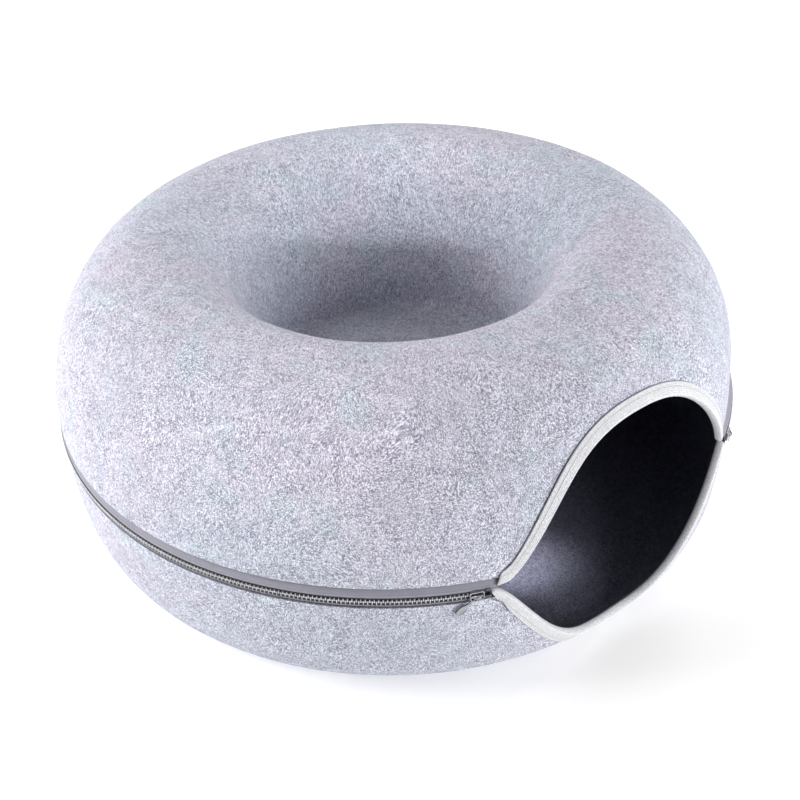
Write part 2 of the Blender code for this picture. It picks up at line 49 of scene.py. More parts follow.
# The ring's sizes, repeated from the CAD source
RING_RADIUS = 300 * MM
HEIGHT = 250 * MM
ZIP_HEIGHT = 110 * MM
CREST_RADIUS = 194 * MM
BASE_OUTER_RADIUS = 236 * MM
BASE_INNER_RADIUS = 168 * MM
FELT = 4 * MM
GAP = 0.3 * MM
WELL_RADIUS = 119 * MM
WELL_FLOOR_HEIGHT = 103.6 * MM
HUB_DISC_HEIGHT = 95.3 * MM
WELL_THROAT_HEIGHT = 120 * MM
HUB_THROAT_HEIGHT = 82 * MM
UPPER_WALL_POWER = 2.106
WELL_POWER = 2.25
LOWER_WALL_POWER = 3.77
HUB_POWER = 2.6
CREASE_RADIUS = 7 * MM
RIM_STEP = 1.2 * MM
FELT_EDGE_RISE = {UP: 11.5 * MM, DOWN: 6.8 * MM}
TAPE_THICKNESS = 0.6 * MM
TAPE_LAP = 6 * MM
TAPE_RECESS = 0.9 * MM
TAPE_STRAIGHT_RISE = 4.9 * MM
TAPE_BEND_DROP = 0.5 * MM
CHAIN_THICKNESS = 2.4 * MM
CHAIN_RISE = 2.9 * MM
TOOTH_PITCH = 3.18 * MM
ENTRANCE_AZIMUTH = math.radians(38.4)
ENTRANCE_LEFT = 137 * MM
ENTRANCE_RIGHT = 133.5 * MM
ARCH_RISE = 97 * MM
CORNER_RISE = 1.5 * MM
LEFT_POWERS = {UP: (1.86, 0.5, 1.27), DOWN: (3.1, 1.88, 0.0)}
RIGHT_POWERS = {UP: (2.18, 0.5, 0.74), DOWN: (1.5, 1.05, 0.0)}
BINDING_WIDTH = 9.6 * MM
BINDING_THICKNESS = 0.8 * MM
BINDING_FELT_LAP = 2.5 * MM
SLIDER_LENGTH = 11 * MM
SLIDER_SETBACK = 6 * MM
SLIDER_HALF_WIDTH = 4.15 * MM
SLIDER_FLARE = 0.15 * MM
SLIDER_WAIST = 0.45 * MM
SLIDER_WALL = 1 * MM
SLIDER_DOME = 0.3 * MM
CROWN_HALF_SPAN = 2.6 * MM
CROWN_THICKNESS = 0.9 * MM
PULL_THICKNESS = 0.9 * MM
PULL_EYE_WIDTH = 4.2 * MM
PULL_EYE_LENGTH = 3.4 * MM
PULL_WEB = 0.9 * MM
PULL_LENGTH = 22 * MM
PULL_SWAY = math.radians(40)
PULL_LEAN = math.radians(3)
PULL_RUN = 1 * MM
PULL_RISE = 0.4 * MM

# How the soft halves settle beside the entrance, as photographed
BINDING_TRIM = 4 * MM  # from the left corner to the upper binding's end
BINDING_CUT = 4 * MM  # how far the lower binding's end slants
CORNER_LIFT = 3.5 * MM
TAPE_PAST = 4.2 * MM  # how far the upper tape runs past the left corner
TUCK = 4.5 * MM  # how far the upper half is drawn in beside the right corner
TUCK_AZIMUTH = math.radians(76)
TUCK_SPREAD = math.radians(9)
TUCK_REACH = 90 * MM

# The sliders' and pulls' finer shapes
PLATE_BEVEL = 0.25 * MM
BACK_PLATE_BEVEL = 0.35 * MM
PLATE_PANEL = (0.75 * MM, 0.35 * MM)  # sunk into the plate: in from the edge, and how deep
WAIST_SPREAD = 1.6 * MM
DOMED_PAST = 0.8 * MM  # only the plate's outer face is domed
SPINE_HALF_SIZE = (3.9 * MM, 1.15 * MM)
SPINE_BEVEL = 0.2 * MM
LIP_HALF_WIDTH = 0.25 * MM
LIP_INSET = 0.4 * MM
LIP_BEVEL = 0.1 * MM
CROWN_HALF_WIDTH = 0.7 * MM
NECK_END = 8.5 * MM  # where the pull's narrow neck starts to widen
NECK_HALF_WIDTH = 1.0 * MM
LEAF_WIDENING = 2.0 * MM
LEAF_WIDENS_OVER = 6 * MM
LEAF_ROUNDING = 3 * MM
LEAF_BEVEL = 0.18 * MM
LEAF_PANEL = (0.55 * MM, 0.2 * MM)
LEAF_SHADED_PAST = 0.3 * MM  # from the leaf's middle line
LEAF_EDGE_SHADE = 0.75

ENTRANCE_START = ENTRANCE_AZIMUTH - ENTRANCE_LEFT / RING_RADIUS
ENTRANCE_END = ENTRANCE_AZIMUTH + ENTRANCE_RIGHT / RING_RADIUS
RING_TURN = 2 * math.pi - (ENTRANCE_END - ENTRANCE_START)
FELT_RADIUS = RING_RADIUS - RIM_STEP
TAPE_RADIUS = RING_RADIUS - TAPE_RECESS
CHAIN_RADIUS = RING_RADIUS - CHAIN_THICKNESS / 2
HALF_SLIDER = SLIDER_LENGTH / 2 / RING_RADIUS
SLIDER_AZIMUTHS = {
    "left": ENTRANCE_START - SLIDER_SETBACK / RING_RADIUS - HALF_SLIDER,
    "right": ENTRANCE_END + SLIDER_SETBACK / RING_RADIUS + HALF_SLIDER,
}

# How finely the scene's own surfaces are cut
QUARTER_STEPS = 240
RING_STEPS = 310
ENTRANCE_STEPS = 110
BINDING_STEPS = 420
TAPE_STEPS = 620
STITCH_STEPS = 300
OVAL_STEPS = 56
OUTER_ROWS = {UP: (6, 44, 34, 3, 14), DOWN: (6, 38, 3, 30, 14)}
FIBRE_REACH = 200 * MM  # radius that the fibre pattern is laid out on
FIBRE_TURN = (0.6, 0.4, 0.9)  # keeps the patterns' grids off the faces that the camera sees

# Slow waves: how many, the most turns round the ring, and each one's (seed, size, strength)
WAVE_COUNT = 14
WAVE_TURNS, WAVE_RING = 1.2, 0.3
BINDING_WAVES = {UP: (32, 0.05, 0.18 * MM), DOWN: (30, 0.05, 0.18 * MM)}
TAPE_WAVES = {UP: (42, 0.06, 0.12 * MM), DOWN: (40, 0.06, 0.12 * MM)}
FELT_WAVES = {
    UP: ((11, 0.12, 0.5 * MM), (12, 0.022, 0.12 * MM)),
    DOWN: ((23, 0.12, 0.5 * MM), (24, 0.022, 0.12 * MM)),
}
WAVES_GROW_OVER = 25 * MM  # from the felt's edge
WAVES_FADE_OVER = 60 * MM  # towards the middle of the well or the hub
WAVES_GROUND = 30 * MM  # the lower half is flat where it meets the floor

# The felt's edge, pressed beside the binding, with painted shadow beside the binding and along its cut
# edge
SHADE_REACH = 10 * MM
PRESS_DEPTH = 0.5 * MM
PRESS_SPREAD = 3 * MM
PRESS_REACH = 20 * MM
PRESS_CORNER_FADE = 12  # how quickly it fades towards the corners
EDGE_ROUNDING = (0.35 * MM, 0.5 * MM)  # of the felt's cut edge, along it and into it
LEAST_LAP = 0.6 * MM
LAST_ROW = 2 * MM  # radius of the felt's last ring, where its skin closes on a point

# The binding, its seam and the tape
BINDING_RIBS = 6
BINDING_RIB_HEIGHT = 0.09 * MM
BINDING_SEAM = 0.62  # where its seam runs, as a share of its width
BINDING_INNER_SHARE = 0.4  # the leg inside the tunnel, as a share of the one outside
BINDING_INNER_SEAM = 0.25
THREAD_LIFT = 0.08 * MM
STITCH = (2.6 * MM, 0.7 * MM, 0.2 * MM)  # length, gap and thread radius
SEAM_END = 4  # stitch steps left out at each corner
TAPE_DARK_LINE = 2.4 * MM  # from the tape's edge beside the teeth
CORD_RADII = (0.5 * MM, 0.4 * MM)  # across and along the ring's axis
CORD_RISE = 2.5 * MM
CORD_DEPTH = 0.3 * MM

# The felt's fibres, as photographed
FELT_PALE = (0.96, 0.92, 1.0)
FELT_PALE_BLUE = (0.89, 0.93, 1.0)
FELT_PALE_TEAL = (0.86, 0.95, 0.98)
FELT_BLUE = (0.60, 0.64, 0.80)
FELT_LILAC = (0.685, 0.625, 0.79)
FELT_MOSS = (0.53, 0.58, 0.58)
FELT_TEAL = (0.51, 0.65, 0.74)
# This colour is both the felt's random mottling and painted shade low at the front
FELT_MOTTLE_AND_SHADE = (0.50, 0.50, 0.62)
FELT_DARK = (0.12, 0.12, 0.19)
FELT_INNER_SHADE = (0.25, 0.255, 0.31)  # painted shade: the inner faces' colour is multiplied by this

# Painted shadow at the felt's edges, and thread
EDGE_SHADOW = (0.08, 0.08, 0.09)
THREAD = (0.72, 0.72, 0.71)

# The studio: lights as (name, azimuth, elevation, watts)
SOFTBOX_SIDE = 1.2
LIGHT_DISTANCE = 2.4
LIGHT_AIM_HEIGHT = 0.1
SURROUND = 0.16
FLOOR_HALF = 6.0
SOFTBOXES = (
    ("left", 270, 18, 56),
    ("front", 45, 18, 29.5),
    ("right", 90, 18, 19),
    ("high_left", 270, 50, 11),
    ("high_right", 135, 50, 15),
    ("back", 180, 18, 9),
)

# The photograph's camera
PHOTO_SIDE = 800
CAMERA_DISTANCE = 1124.4 * MM
CAMERA_ELEVATION = math.radians(39.09)
CAMERA_ROLL = 0.0386
CAMERA_FOCAL_PX = 1153.9
CAMERA_OFFSET_PX = (-1.58, 56.90)


# Shapes


def unit(vectors):
    return vectors / np.linalg.norm(vectors, axis=-1, keepdims=True)


def lengths_along(points):
    """How far along a path of points each one lies."""
    return np.r_[0, np.cumsum(np.linalg.norm(np.diff(points, axis=0), axis=1))]


def sampled(at, runs, *known):
    """Each known set of points or directions, interpolated at these runs."""
    return [np.stack([np.interp(at, runs, part) for part in np.transpose(values)], -1)
            for values in known]


def quarter(centre, half_width, half_height, power, start, end):
    """A quarter of a superellipse."""
    angle = np.linspace(start, end, QUARTER_STEPS + 1)
    across, along = np.maximum(np.cos(angle), 0), np.maximum(np.sin(angle), 0)
    return np.column_stack((centre[0] + half_width * across ** (2 / power),
                            centre[1] + half_height * along ** (2 / power)))


def fillet(corner, radius, rise):
    """The rounded crease from the well's upright wall onto its floor, as (radius, height) points."""
    angle = np.linspace(0, math.pi / 2, 25)
    centre = (corner[0] - radius, corner[1] + rise * radius)
    return np.column_stack((centre[0] + radius * np.cos(angle),
                            centre[1] - rise * radius * np.sin(angle)))


class Meridian:
    """A shell's outer face in section, with normals, measured by the run from the zip plane."""

    def __init__(self, pieces, side):
        points = np.concatenate(pieces)
        keep = np.r_[True, np.linalg.norm(np.diff(points, axis=0), axis=1) > 1e-6]
        self.points = points[keep]
        steps = np.diff(self.points, axis=0)
        self.runs = lengths_along(self.points)
        self.side = side
        flat = unit(np.column_stack((side * steps[:, 1], -side * steps[:, 0])))
        self.normals = unit(np.vstack((flat[:1], flat[:-1] + flat[1:], flat[-1:])))
        self.rises = np.maximum.accumulate(np.abs(self.points[:, 1] - ZIP_HEIGHT))

    def at(self, run, out=0.0):
        """(radius, height) at these runs, moved out along the normal."""
        place, normal = sampled(run, self.runs, self.points, self.normals)
        return place + np.asarray(out)[..., None] * unit(normal)

    def run_at_rise(self, rise):
        top = int(np.argmax(self.rises >= self.rises.max() - 1e-9))
        return np.interp(rise, self.rises[: top + 1], self.runs[: top + 1])

    def run_near(self, radius, height):
        return self.runs[np.argmin(np.hypot(self.points[:, 0] - radius, self.points[:, 1] - height))]


def ring_points(radius, azimuth, height):
    radius, azimuth, height = np.broadcast_arrays(radius, azimuth, height)
    return np.stack((radius * np.sin(azimuth), -radius * np.cos(azimuth), height), -1)


def shell_section(side, far, floor, wall, well):
    """From the zip to the shell's far height and back to the floor in its middle.

    The wall is (radius of its far end, power) and the well or hub is (radius, throat height, power).
    """
    (outer, wall_power), (inner, throat, power) = wall, well
    return Meridian([
        quarter((outer, ZIP_HEIGHT), FELT_RADIUS - outer, far - ZIP_HEIGHT, wall_power, 0, math.pi / 2),
        quarter((inner, throat), WELL_RADIUS - inner, far - throat, power, math.pi / 2, 0),
        fillet((WELL_RADIUS, floor), CREASE_RADIUS, side),
        np.array([[0.0, floor]]),
    ], side)


UPPER = shell_section(UP, HEIGHT, WELL_FLOOR_HEIGHT, (CREST_RADIUS, UPPER_WALL_POWER),
                      (CREST_RADIUS, WELL_THROAT_HEIGHT, WELL_POWER))
LOWER = shell_section(DOWN, 0.0, HUB_DISC_HEIGHT, (BASE_OUTER_RADIUS, LOWER_WALL_POWER),
                      (BASE_INNER_RADIUS, HUB_THROAT_HEIGHT, HUB_POWER))

# Runs from the zip where the felt's rows change, at rims, crease and floor
MARKS = {
    UP: [UPPER.run_near(CREST_RADIUS, HEIGHT),
         UPPER.run_near(WELL_RADIUS, WELL_FLOOR_HEIGHT + CREASE_RADIUS),
         UPPER.run_near(WELL_RADIUS - CREASE_RADIUS, WELL_FLOOR_HEIGHT)],
    DOWN: [LOWER.run_near(BASE_OUTER_RADIUS, 0.0), LOWER.run_near(BASE_INNER_RADIUS, 0.0),
           LOWER.run_near(WELL_RADIUS, HUB_DISC_HEIGHT - CREASE_RADIUS)],
}


def entrance_share(azimuth):
    """How far towards a corner, from 0 at the entrance's highest point to 1."""
    turn = np.asarray(azimuth) - ENTRANCE_AZIMUTH
    return np.minimum(np.abs(turn) * RING_RADIUS / np.where(turn < 0, ENTRANCE_LEFT, ENTRANCE_RIGHT), 1.0)


def arch_rise(azimuth, side):
    """How far the entrance's edge stands from the zip plane."""
    left = np.asarray(azimuth) < ENTRANCE_AZIMUTH
    share = entrance_share(azimuth)
    square, head, corner = (np.where(left, a, b) for a, b in zip(LEFT_POWERS[side], RIGHT_POWERS[side]))
    return CORNER_RISE + (ARCH_RISE - CORNER_RISE) * (1 - share ** square) ** (head + corner * share ** 2)


def entrance_azimuths(count, side):
    """Azimuths across the entrance, evenly spaced along its edge."""
    fine = np.linspace(ENTRANCE_START, ENTRANCE_END, 2001)
    climb = np.diff(arch_rise(fine, side))
    lengths = np.r_[0, np.cumsum(np.hypot(RING_RADIUS * np.diff(fine), climb))]
    return np.interp(np.linspace(0, lengths[-1], count + 1), lengths, fine)


def ease(value):
    """A smooth step from 0 to 1."""
    value = np.clip(value, 0, 1)
    return value * value * (3 - 2 * value)


def bound_runs(meridian, azimuth):
    """Runs of the bound edge, of the felt's edge and of the binding's far edge, at each azimuth.

    The binding narrows towards the corners, and the upper one stops short of the left corner.
    """
    left = (azimuth - ENTRANCE_START) * RING_RADIUS
    right = (ENTRANCE_END - azimuth) * RING_RADIUS
    edge = meridian.run_at_rise(arch_rise(azimuth, meridian.side))
    slope = np.gradient(edge, azimuth * RING_RADIUS)
    felt = np.maximum(edge, meridian.run_at_rise(FELT_EDGE_RISE[meridian.side]))
    width = np.maximum(BINDING_WIDTH * np.hypot(1, slope), felt + BINDING_FELT_LAP - edge)
    if meridian.side == UP:
        edge = edge + CORNER_LIFT * (1 - ease((left - BINDING_TRIM) / (12 * MM)))
        width = width * (0.2 + 0.8 * ease((left - BINDING_TRIM) / (3.4 * MM)))
        width = width * (0.5 + 0.5 * ease(right / (24 * MM)))
    else:
        width = width * (0.7 + 0.3 * ease(left / (14 * MM)))
    return edge, felt, edge + width


def tuck(azimuth, height):
    """How far the upper half is drawn in here."""
    turn = (azimuth - TUCK_AZIMUTH) / TUCK_SPREAD
    return TUCK * np.exp(-turn * turn / 2) * (1 - ease((height - ZIP_HEIGHT) / TUCK_REACH))


def waves(azimuth, run, seed, size, strength):
    """A smooth, seamless wander over a shell: a sum of seeded waves round and across the ring."""
    rng = np.random.default_rng(seed)
    total = np.zeros(np.broadcast(azimuth, run).shape)
    most = int(WAVE_TURNS / size * WAVE_RING)
    for _ in range(WAVE_COUNT):
        turns = rng.integers(-most, most + 1)
        across = rng.uniform(-1, 1) * 2 * math.pi / size
        total += np.cos(turns * azimuth + across * run + rng.uniform(0, 2 * math.pi))
    return total * strength / math.sqrt(WAVE_COUNT / 2)


# Meshes


def linked(name, data):
    made = bpy.data.objects.new(name, data)
    bpy.context.scene.collection.objects.link(made)
    return made


def mesh_object(name, points, faces, surface, smooth_angle=None):
    mesh = bpy.data.meshes.new(name)
    mesh.from_pydata([tuple(p) for p in np.reshape(points, (-1, 3))], [], faces)
    mesh.validate()
    mesh.materials.append(surface)
    mesh.shade_smooth()
    if smooth_angle is not None:
        mesh.set_sharp_from_angle(angle=math.radians(smooth_angle))
    made = linked(name, mesh)
    return made


def grid_faces(columns, rows, offset=0, flip=False, closed=False, round_rows=False):
    """Quads of a grid whose points are numbered column by column.

    A closed grid joins its last column to its first, and round rows join each column's two ends.
    """
    faces = []
    for i in range(columns if closed else columns - 1):
        here, there = offset + i * rows, offset + (i + 1) % columns * rows
        for j in range(rows if round_rows else rows - 1):
            k = (j + 1) % rows
            quad = (here + j, there + j, there + k, here + k)
            faces.append(quad[::-1] if flip else quad)
    return faces


def tube_faces(columns, size, offset=0, flip=False):
    """Quads round a bar of equal sections, with flat ends."""
    faces = grid_faces(columns, size, offset, flip, round_rows=True)
    first = tuple(offset + j for j in range(size))
    last = tuple(offset + (columns - 1) * size + j for j in reversed(range(size)))
    faces += [first[::-1], last[::-1]] if flip else [first, last]
    return faces


def point_attribute(made, name, values):
    layer = made.data.attributes.new(name, "FLOAT_VECTOR", "POINT")
    layer.data.foreach_set("vector", np.ascontiguousarray(values, np.float32).ravel())


def felt_piece(word, meridian):
    """A felt half as one closed skin: outer face, cut edge and inner face, meeting in the middle."""
    side = meridian.side
    entrance = entrance_azimuths(ENTRANCE_STEPS, side)
    azimuths = np.r_[entrance, ENTRANCE_END + RING_TURN * np.arange(1, RING_STEPS) / RING_STEPS]
    start = np.full(len(azimuths), meridian.run_at_rise(FELT_EDGE_RISE[side]))
    reach = start + BINDING_WIDTH
    _, felt, far = bound_runs(meridian, entrance)
    bound = slice(0, len(entrance))
    start[bound], reach[bound] = felt, np.maximum(far, felt + LEAST_LAP)
    marks = [*MARKS[side], meridian.runs[-1] - LAST_ROW]
    columns = []
    for low, high, steps in zip([start, reach, *marks[:-1]], [reach, *marks], OUTER_ROWS[side]):
        share = np.arange(steps) / steps
        columns.append(np.broadcast_to(low, start.shape)[:, None] * (1 - share)
                       + np.broadcast_to(high, start.shape)[:, None] * share)
    runs = np.column_stack([*columns, np.full(len(azimuths), marks[-1])])
    turn = azimuths[:, None]
    wander = sum(waves(turn, runs, *wave) for wave in FELT_WAVES[side])
    fade = np.clip((runs - start[:, None]) / WAVES_GROW_OVER, 0, 1)
    fade = fade * np.clip((meridian.runs[-1] - runs) / WAVES_FADE_OVER, 0, 1)
    if side == DOWN:
        fade = fade * np.clip(np.abs(meridian.at(runs)[..., 1]) / WAVES_GROUND, 0, 1)
    press = np.zeros_like(runs)
    past = runs[bound] - reach[bound, None]
    press[bound] = -PRESS_DEPTH * np.exp(-np.clip(past, 0, None) / PRESS_SPREAD) * (past > -PRESS_REACH)
    press[bound] *= np.clip(PRESS_CORNER_FADE * (1 - entrance_share(entrance)), 0, 1)[:, None]
    outer = meridian.at(runs, wander * fade + press)
    inner = meridian.at(runs, -FELT + wander * fade + press)
    rows = runs.shape[1]
    back, into = EDGE_ROUNDING
    round_edge = [(back, 0.0), (0.0, -into), (0.0, -FELT + into), (back, -FELT)]
    edge = np.stack([meridian.at(start + along, out + press[:, 0]) for along, out in round_edge], 1)
    outer[:, 0], inner[:, 0] = edge[:, 0], edge[:, 3]
    section = np.concatenate((inner[:, ::-1], edge[:, 2:3], edge[:, 1:2], outer), axis=1)
    lap = np.concatenate((runs[:, ::-1], runs[:, :1], runs[:, :1], runs), axis=1)
    if side == UP:
        section[..., 0] -= tuck(turn, section[..., 1]) * (lap < marks[0])
    points = ring_points(section[..., 0], turn, section[..., 1])
    size = section.shape[1]
    faces = grid_faces(len(azimuths), size, flip=side == DOWN, closed=True)
    centres = np.array([[0, 0, section[0, 0, 1]], [0, 0, section[0, -1, 1]]])
    flat = np.vstack((points.reshape(-1, 3), centres))
    for i in range(len(azimuths)):
        here, there = i * size, (i + 1) % len(azimuths) * size
        low = (here, len(flat) - 2, there)
        high = (here + size - 1, there + size - 1, len(flat) - 1)
        faces += [low[::-1], high[::-1]] if side == DOWN else [low, high]
    made = mesh_object(word + "_felt", flat, faces, MATERIALS["felt"], 50)
    spread = np.broadcast_to(turn, lap.shape)
    pile = np.stack((FIBRE_REACH * np.sin(spread + FIBRE_TURN[2]),
                     -FIBRE_REACH * np.cos(spread + FIBRE_TURN[2]), lap), -1)
    # Masks for painted shade: the inner faces, beside the binding's far edge, and along the felt's cut
    # edge
    inside = np.zeros_like(lap)
    inside[:, : rows + 1] = 1
    near = np.ones_like(lap)
    near[bound] = np.clip(np.abs((lap - reach[:, None])[bound]) / SHADE_REACH, 0, 1)
    rim = np.clip((lap - start[:, None]) / SHADE_REACH, 0, 1)
    place = np.stack((inside, near, rim), -1)
    tail = np.array([[0, 0, meridian.runs[-1]]] * 2)
    point_attribute(made, "pile", np.vstack((pile.reshape(-1, 3), tail)))
    point_attribute(made, "place", np.vstack((place.reshape(-1, 3), [[1, 1, 1], [0, 1, 1]])))
    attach(made, word + "_half")
    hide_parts(word + "_shell")


def binding_piece(word, meridian):
    """The ribbed tape folded over the entrance's edge, with a rounded fold and real ribs."""
    side = meridian.side
    azimuths = entrance_azimuths(BINDING_STEPS, side)
    if side == UP:
        trimmed = ENTRANCE_START + BINDING_TRIM / RING_RADIUS
        azimuths = np.r_[trimmed, azimuths[azimuths > trimmed]]
    edge, _, reach = bound_runs(meridian, azimuths)
    width = reach - edge
    near, far = GAP, GAP + BINDING_THICKNESS
    leg = np.linspace(1, 0.04, 46)
    rib = BINDING_RIB_HEIGHT * np.sin(leg * 2 * math.pi * BINDING_RIBS)
    outline = [(1.0, near, 0.0)]
    outline += [(share, far + ridge - 0.25 * MM * (share > 0.98), 0.0) for share, ridge in zip(leg, rib)]
    fold = np.linspace(math.pi / 2, -math.pi / 2, 13)[1:-1]
    half = FELT / 2 + far
    outline += [(0.0, -FELT / 2 + half * math.sin(a), -far * 1.6 * math.cos(a)) for a in fold]
    inner = BINDING_INNER_SHARE
    outline += [(share * inner, -FELT - far - ridge * 0.6, 0.0)
                for share, ridge in zip(leg[::-1][::2], rib[::-1][::2])]
    outline += [(inner, -FELT - near, 0.0), (0.3 * inner, -FELT - near, 0.0), (0.0, -FELT - near, -near),
                (0.0, near, -near), (0.3, near, 0.0)]
    shares, outs, backs = np.array(outline).T
    runs = edge[:, None] + shares * width[:, None] + backs
    wobble = waves(azimuths, 0, *BINDING_WAVES[side])[:, None]
    section = meridian.at(runs + wobble * (shares > 0.5), np.broadcast_to(outs, runs.shape))
    turn = np.broadcast_to(azimuths[:, None], runs.shape)
    if side == UP:
        section[..., 0] -= tuck(turn, section[..., 1])
    else:
        cut = 1 - ease((azimuths - ENTRANCE_START) * RING_RADIUS / (16 * MM))
        turn = turn + BINDING_CUT / RING_RADIUS * shares * cut[:, None]
    points = ring_points(section[..., 0], turn, section[..., 1])
    faces = tube_faces(len(azimuths), len(outline), flip=side == UP)
    made = mesh_object(word + "_binding_tape", points, faces, MATERIALS["binding"], 45)
    along = lengths_along(points[:, 1])[:, None]
    weave = np.stack(np.broadcast_arrays(along, shares * BINDING_WIDTH, outs), -1)
    point_attribute(made, "weave", weave)
    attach(made, word + "_half")
    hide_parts(word + "_binding")


def tape_piece(word, meridian):
    """Half of the zip's woven tape, from beside the teeth to behind the felt's edge."""
    side = meridian.side
    past = TAPE_PAST if side == UP else -GAP
    start, end = ENTRANCE_END + GAP / RING_RADIUS, ENTRANCE_START + 2 * math.pi + past / RING_RADIUS
    azimuths = np.linspace(start, end, TAPE_STEPS)
    edge = meridian.run_at_rise(FELT_EDGE_RISE[side] - TAPE_BEND_DROP)
    lap = meridian.run_at_rise(FELT_EDGE_RISE[side]) + TAPE_LAP
    knots = [np.array([TAPE_RADIUS, ZIP_HEIGHT + side * (CHAIN_RISE + GAP)]),
             np.array([TAPE_RADIUS, ZIP_HEIGHT + side * TAPE_STRAIGHT_RISE]),
             meridian.at(edge, -FELT - GAP), meridian.at(lap, -FELT - GAP)]
    line = []
    for low, high, steps in zip(knots, knots[1:], (5, 9, 6)):
        line += [low + (high - low) * i / steps for i in range(steps)]
    line = np.array([*line, knots[-1]])
    for _ in range(3):
        line[1:-1] = (line[:-2] + 2 * line[1:-1] + line[2:]) / 4
    steps = np.gradient(line, axis=0)
    normal = unit(np.column_stack((side * steps[:, 1], -side * steps[:, 0])))
    back = line - normal * TAPE_THICKNESS
    outline = np.vstack((line, back[::-1]))
    count = len(line)
    wobble = waves(azimuths, 0, *TAPE_WAVES[side])
    hold = np.r_[np.sin(np.linspace(0, math.pi, count)), np.sin(np.linspace(math.pi, 0, count))]
    radius = outline[:, 0] + wobble[:, None] * hold
    if side == UP:
        drawn = ease((outline[:, 1] - ZIP_HEIGHT - CHAIN_RISE) / (7 * MM))
        radius = radius - tuck(azimuths[:, None], outline[:, 1]) * drawn
    points = ring_points(radius, azimuths[:, None], outline[:, 1])
    faces = tube_faces(len(azimuths), len(outline), flip=side == DOWN)
    made = mesh_object(word + "_tape", points, faces, MATERIALS["tape"], 45)
    across = lengths_along(line)
    across = np.r_[across, across[::-1]]
    weave = np.stack(np.broadcast_arrays(azimuths[:, None] * RING_RADIUS, across, side * 1.0), -1)
    point_attribute(made, "weave", weave)
    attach(made, word + "_half")
    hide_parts(word + "_zip_tape")


def teeth_piece(word, side):
    """One row of moulded teeth on its cord: each tooth has a leg, a rounded head and a chamfered face."""
    start = SLIDER_AZIMUTHS["right"] - HALF_SLIDER
    end = SLIDER_AZIMUTHS["left"] + 2 * math.pi + HALF_SLIDER
    pitches = round((end - start) * CHAIN_RADIUS / TOOTH_PITCH / 4) * 4
    pitch = (end - start) / pitches
    half = TOOTH_PITCH / 2
    heads = [(CHAIN_RISE, 0.30), (2.3 * MM, 0.26), (1.35 * MM, 0.24), (0.6 * MM, 0.32), (0.05 * MM, 0.50),
             (-0.6 * MM, 0.40), (-0.95 * MM, 0.16)]
    depth = [(0.5, 1.0), (0.86, 0.8), (1.0, 0.4)]
    corners = [*depth, *((out, -wide) for out, wide in depth[::-1]),
               *((-out, -wide) for out, wide in depth), *((-out, wide) for out, wide in depth[::-1])]
    size = len(corners)
    shape = np.array([(wide * half * share, rise, out) for rise, wide in heads for out, share in corners])
    bulge = np.repeat([0.70, 0.85, 0.95, 1.0, 1.0, 0.85, 0.5], size)
    points, faces = [], []
    offset = 0.25 if side == UP else 0.75
    for i in range(pitches):
        azimuth = start + pitch * (i + offset)
        turn = azimuth + shape[:, 0] / CHAIN_RADIUS
        radius = CHAIN_RADIUS + shape[:, 2] * bulge * CHAIN_THICKNESS / 2
        height = ZIP_HEIGHT + side * shape[:, 1]
        faces += tube_faces(len(heads), size, len(points) * len(shape), flip=side == DOWN)
        points.append(ring_points(radius, turn, height))
    cord_turns = np.linspace(start, end, pitches * 2 + 1)
    cord_angle = np.linspace(0, 2 * math.pi, 9)[:-1]
    cord_radius = CHAIN_RADIUS - CORD_DEPTH + CORD_RADII[0] * np.cos(cord_angle)
    cord_height = ZIP_HEIGHT + side * (CORD_RISE + CORD_RADII[1] * np.sin(cord_angle))
    cord = ring_points(cord_radius, cord_turns[:, None], cord_height)
    flat = np.concatenate(points)
    faces += tube_faces(len(cord_turns), len(cord_angle), len(flat), flip=side == DOWN)
    flat = np.vstack((flat, cord.reshape(-1, 3)))
    made = mesh_object(word + "_teeth", flat, faces, MATERIALS["teeth"], 60)
    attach(made, word + "_half")
    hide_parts(word + "_zip_teeth")


def stitch_row(word, label, centres, outwards):
    """Thread stitches laid along a path: short arched tubes that dip at both ends."""
    length, gap, radius = STITCH
    runs = lengths_along(centres)
    count = int((runs[-1] - gap) / (length + gap))
    pace = runs[-1] / count
    share = np.linspace(0, 1, 5)
    angle = np.linspace(0, 2 * math.pi, 7)[:-1]
    points, faces = [], []
    for i in range(count):
        at = (i + 0.5) * pace + (share - 0.5) * length
        spine, out = sampled(at, runs, centres, outwards)
        out = unit(out)
        aside = np.cross(unit(np.gradient(spine, axis=0)), out)
        lift = np.array([-0.7, 0.2, 0.55, 0.2, -0.7]) * radius
        thick = np.array([0.55, 0.95, 1.0, 0.95, 0.55]) * radius
        ring = (np.cos(angle)[None, :, None] * aside[:, None]
                + np.sin(angle)[None, :, None] * out[:, None])
        tube = spine[:, None] + lift[:, None, None] * out[:, None] + thick[:, None, None] * ring
        faces += tube_faces(len(share), len(angle), len(points) * len(share) * len(angle))
        points.append(tube)
    made = mesh_object(word + "_binding_stitches_" + label, points, faces, MATERIALS["thread"])
    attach(made, word + "_half")


def inset(outline, distance):
    """A closed outline that runs anticlockwise, drawn in by this distance."""
    way = unit(np.roll(outline, -1, axis=0) - np.roll(outline, 1, axis=0))
    return outline + distance * np.column_stack((-way[:, 1], way[:, 0]))


def plate(outline, low, high, bevel, panel=None):
    """Points and faces of a plate with rounded edges, (x, z) outlines at depths along y.

    A panel is sunk into its high face, as (distance in from the edge, depth).
    """
    rings = [(inset(outline, bevel), low), (inset(outline, bevel * 0.3), low + bevel * 0.3),
             (outline, low + bevel), (outline, high - bevel),
             (inset(outline, bevel * 0.3), high - bevel * 0.3), (inset(outline, bevel), high)]
    if panel:
        from_edge, depth = panel
        rings += [(inset(outline, from_edge), high),
                  (inset(outline, from_edge + 0.5 * depth), high - depth)]
    points = np.concatenate([np.column_stack((ring[:, 0], np.full(len(ring), level), ring[:, 1]))
                             for ring, level in rings])
    return points, tube_faces(len(rings), len(outline), flip=True)


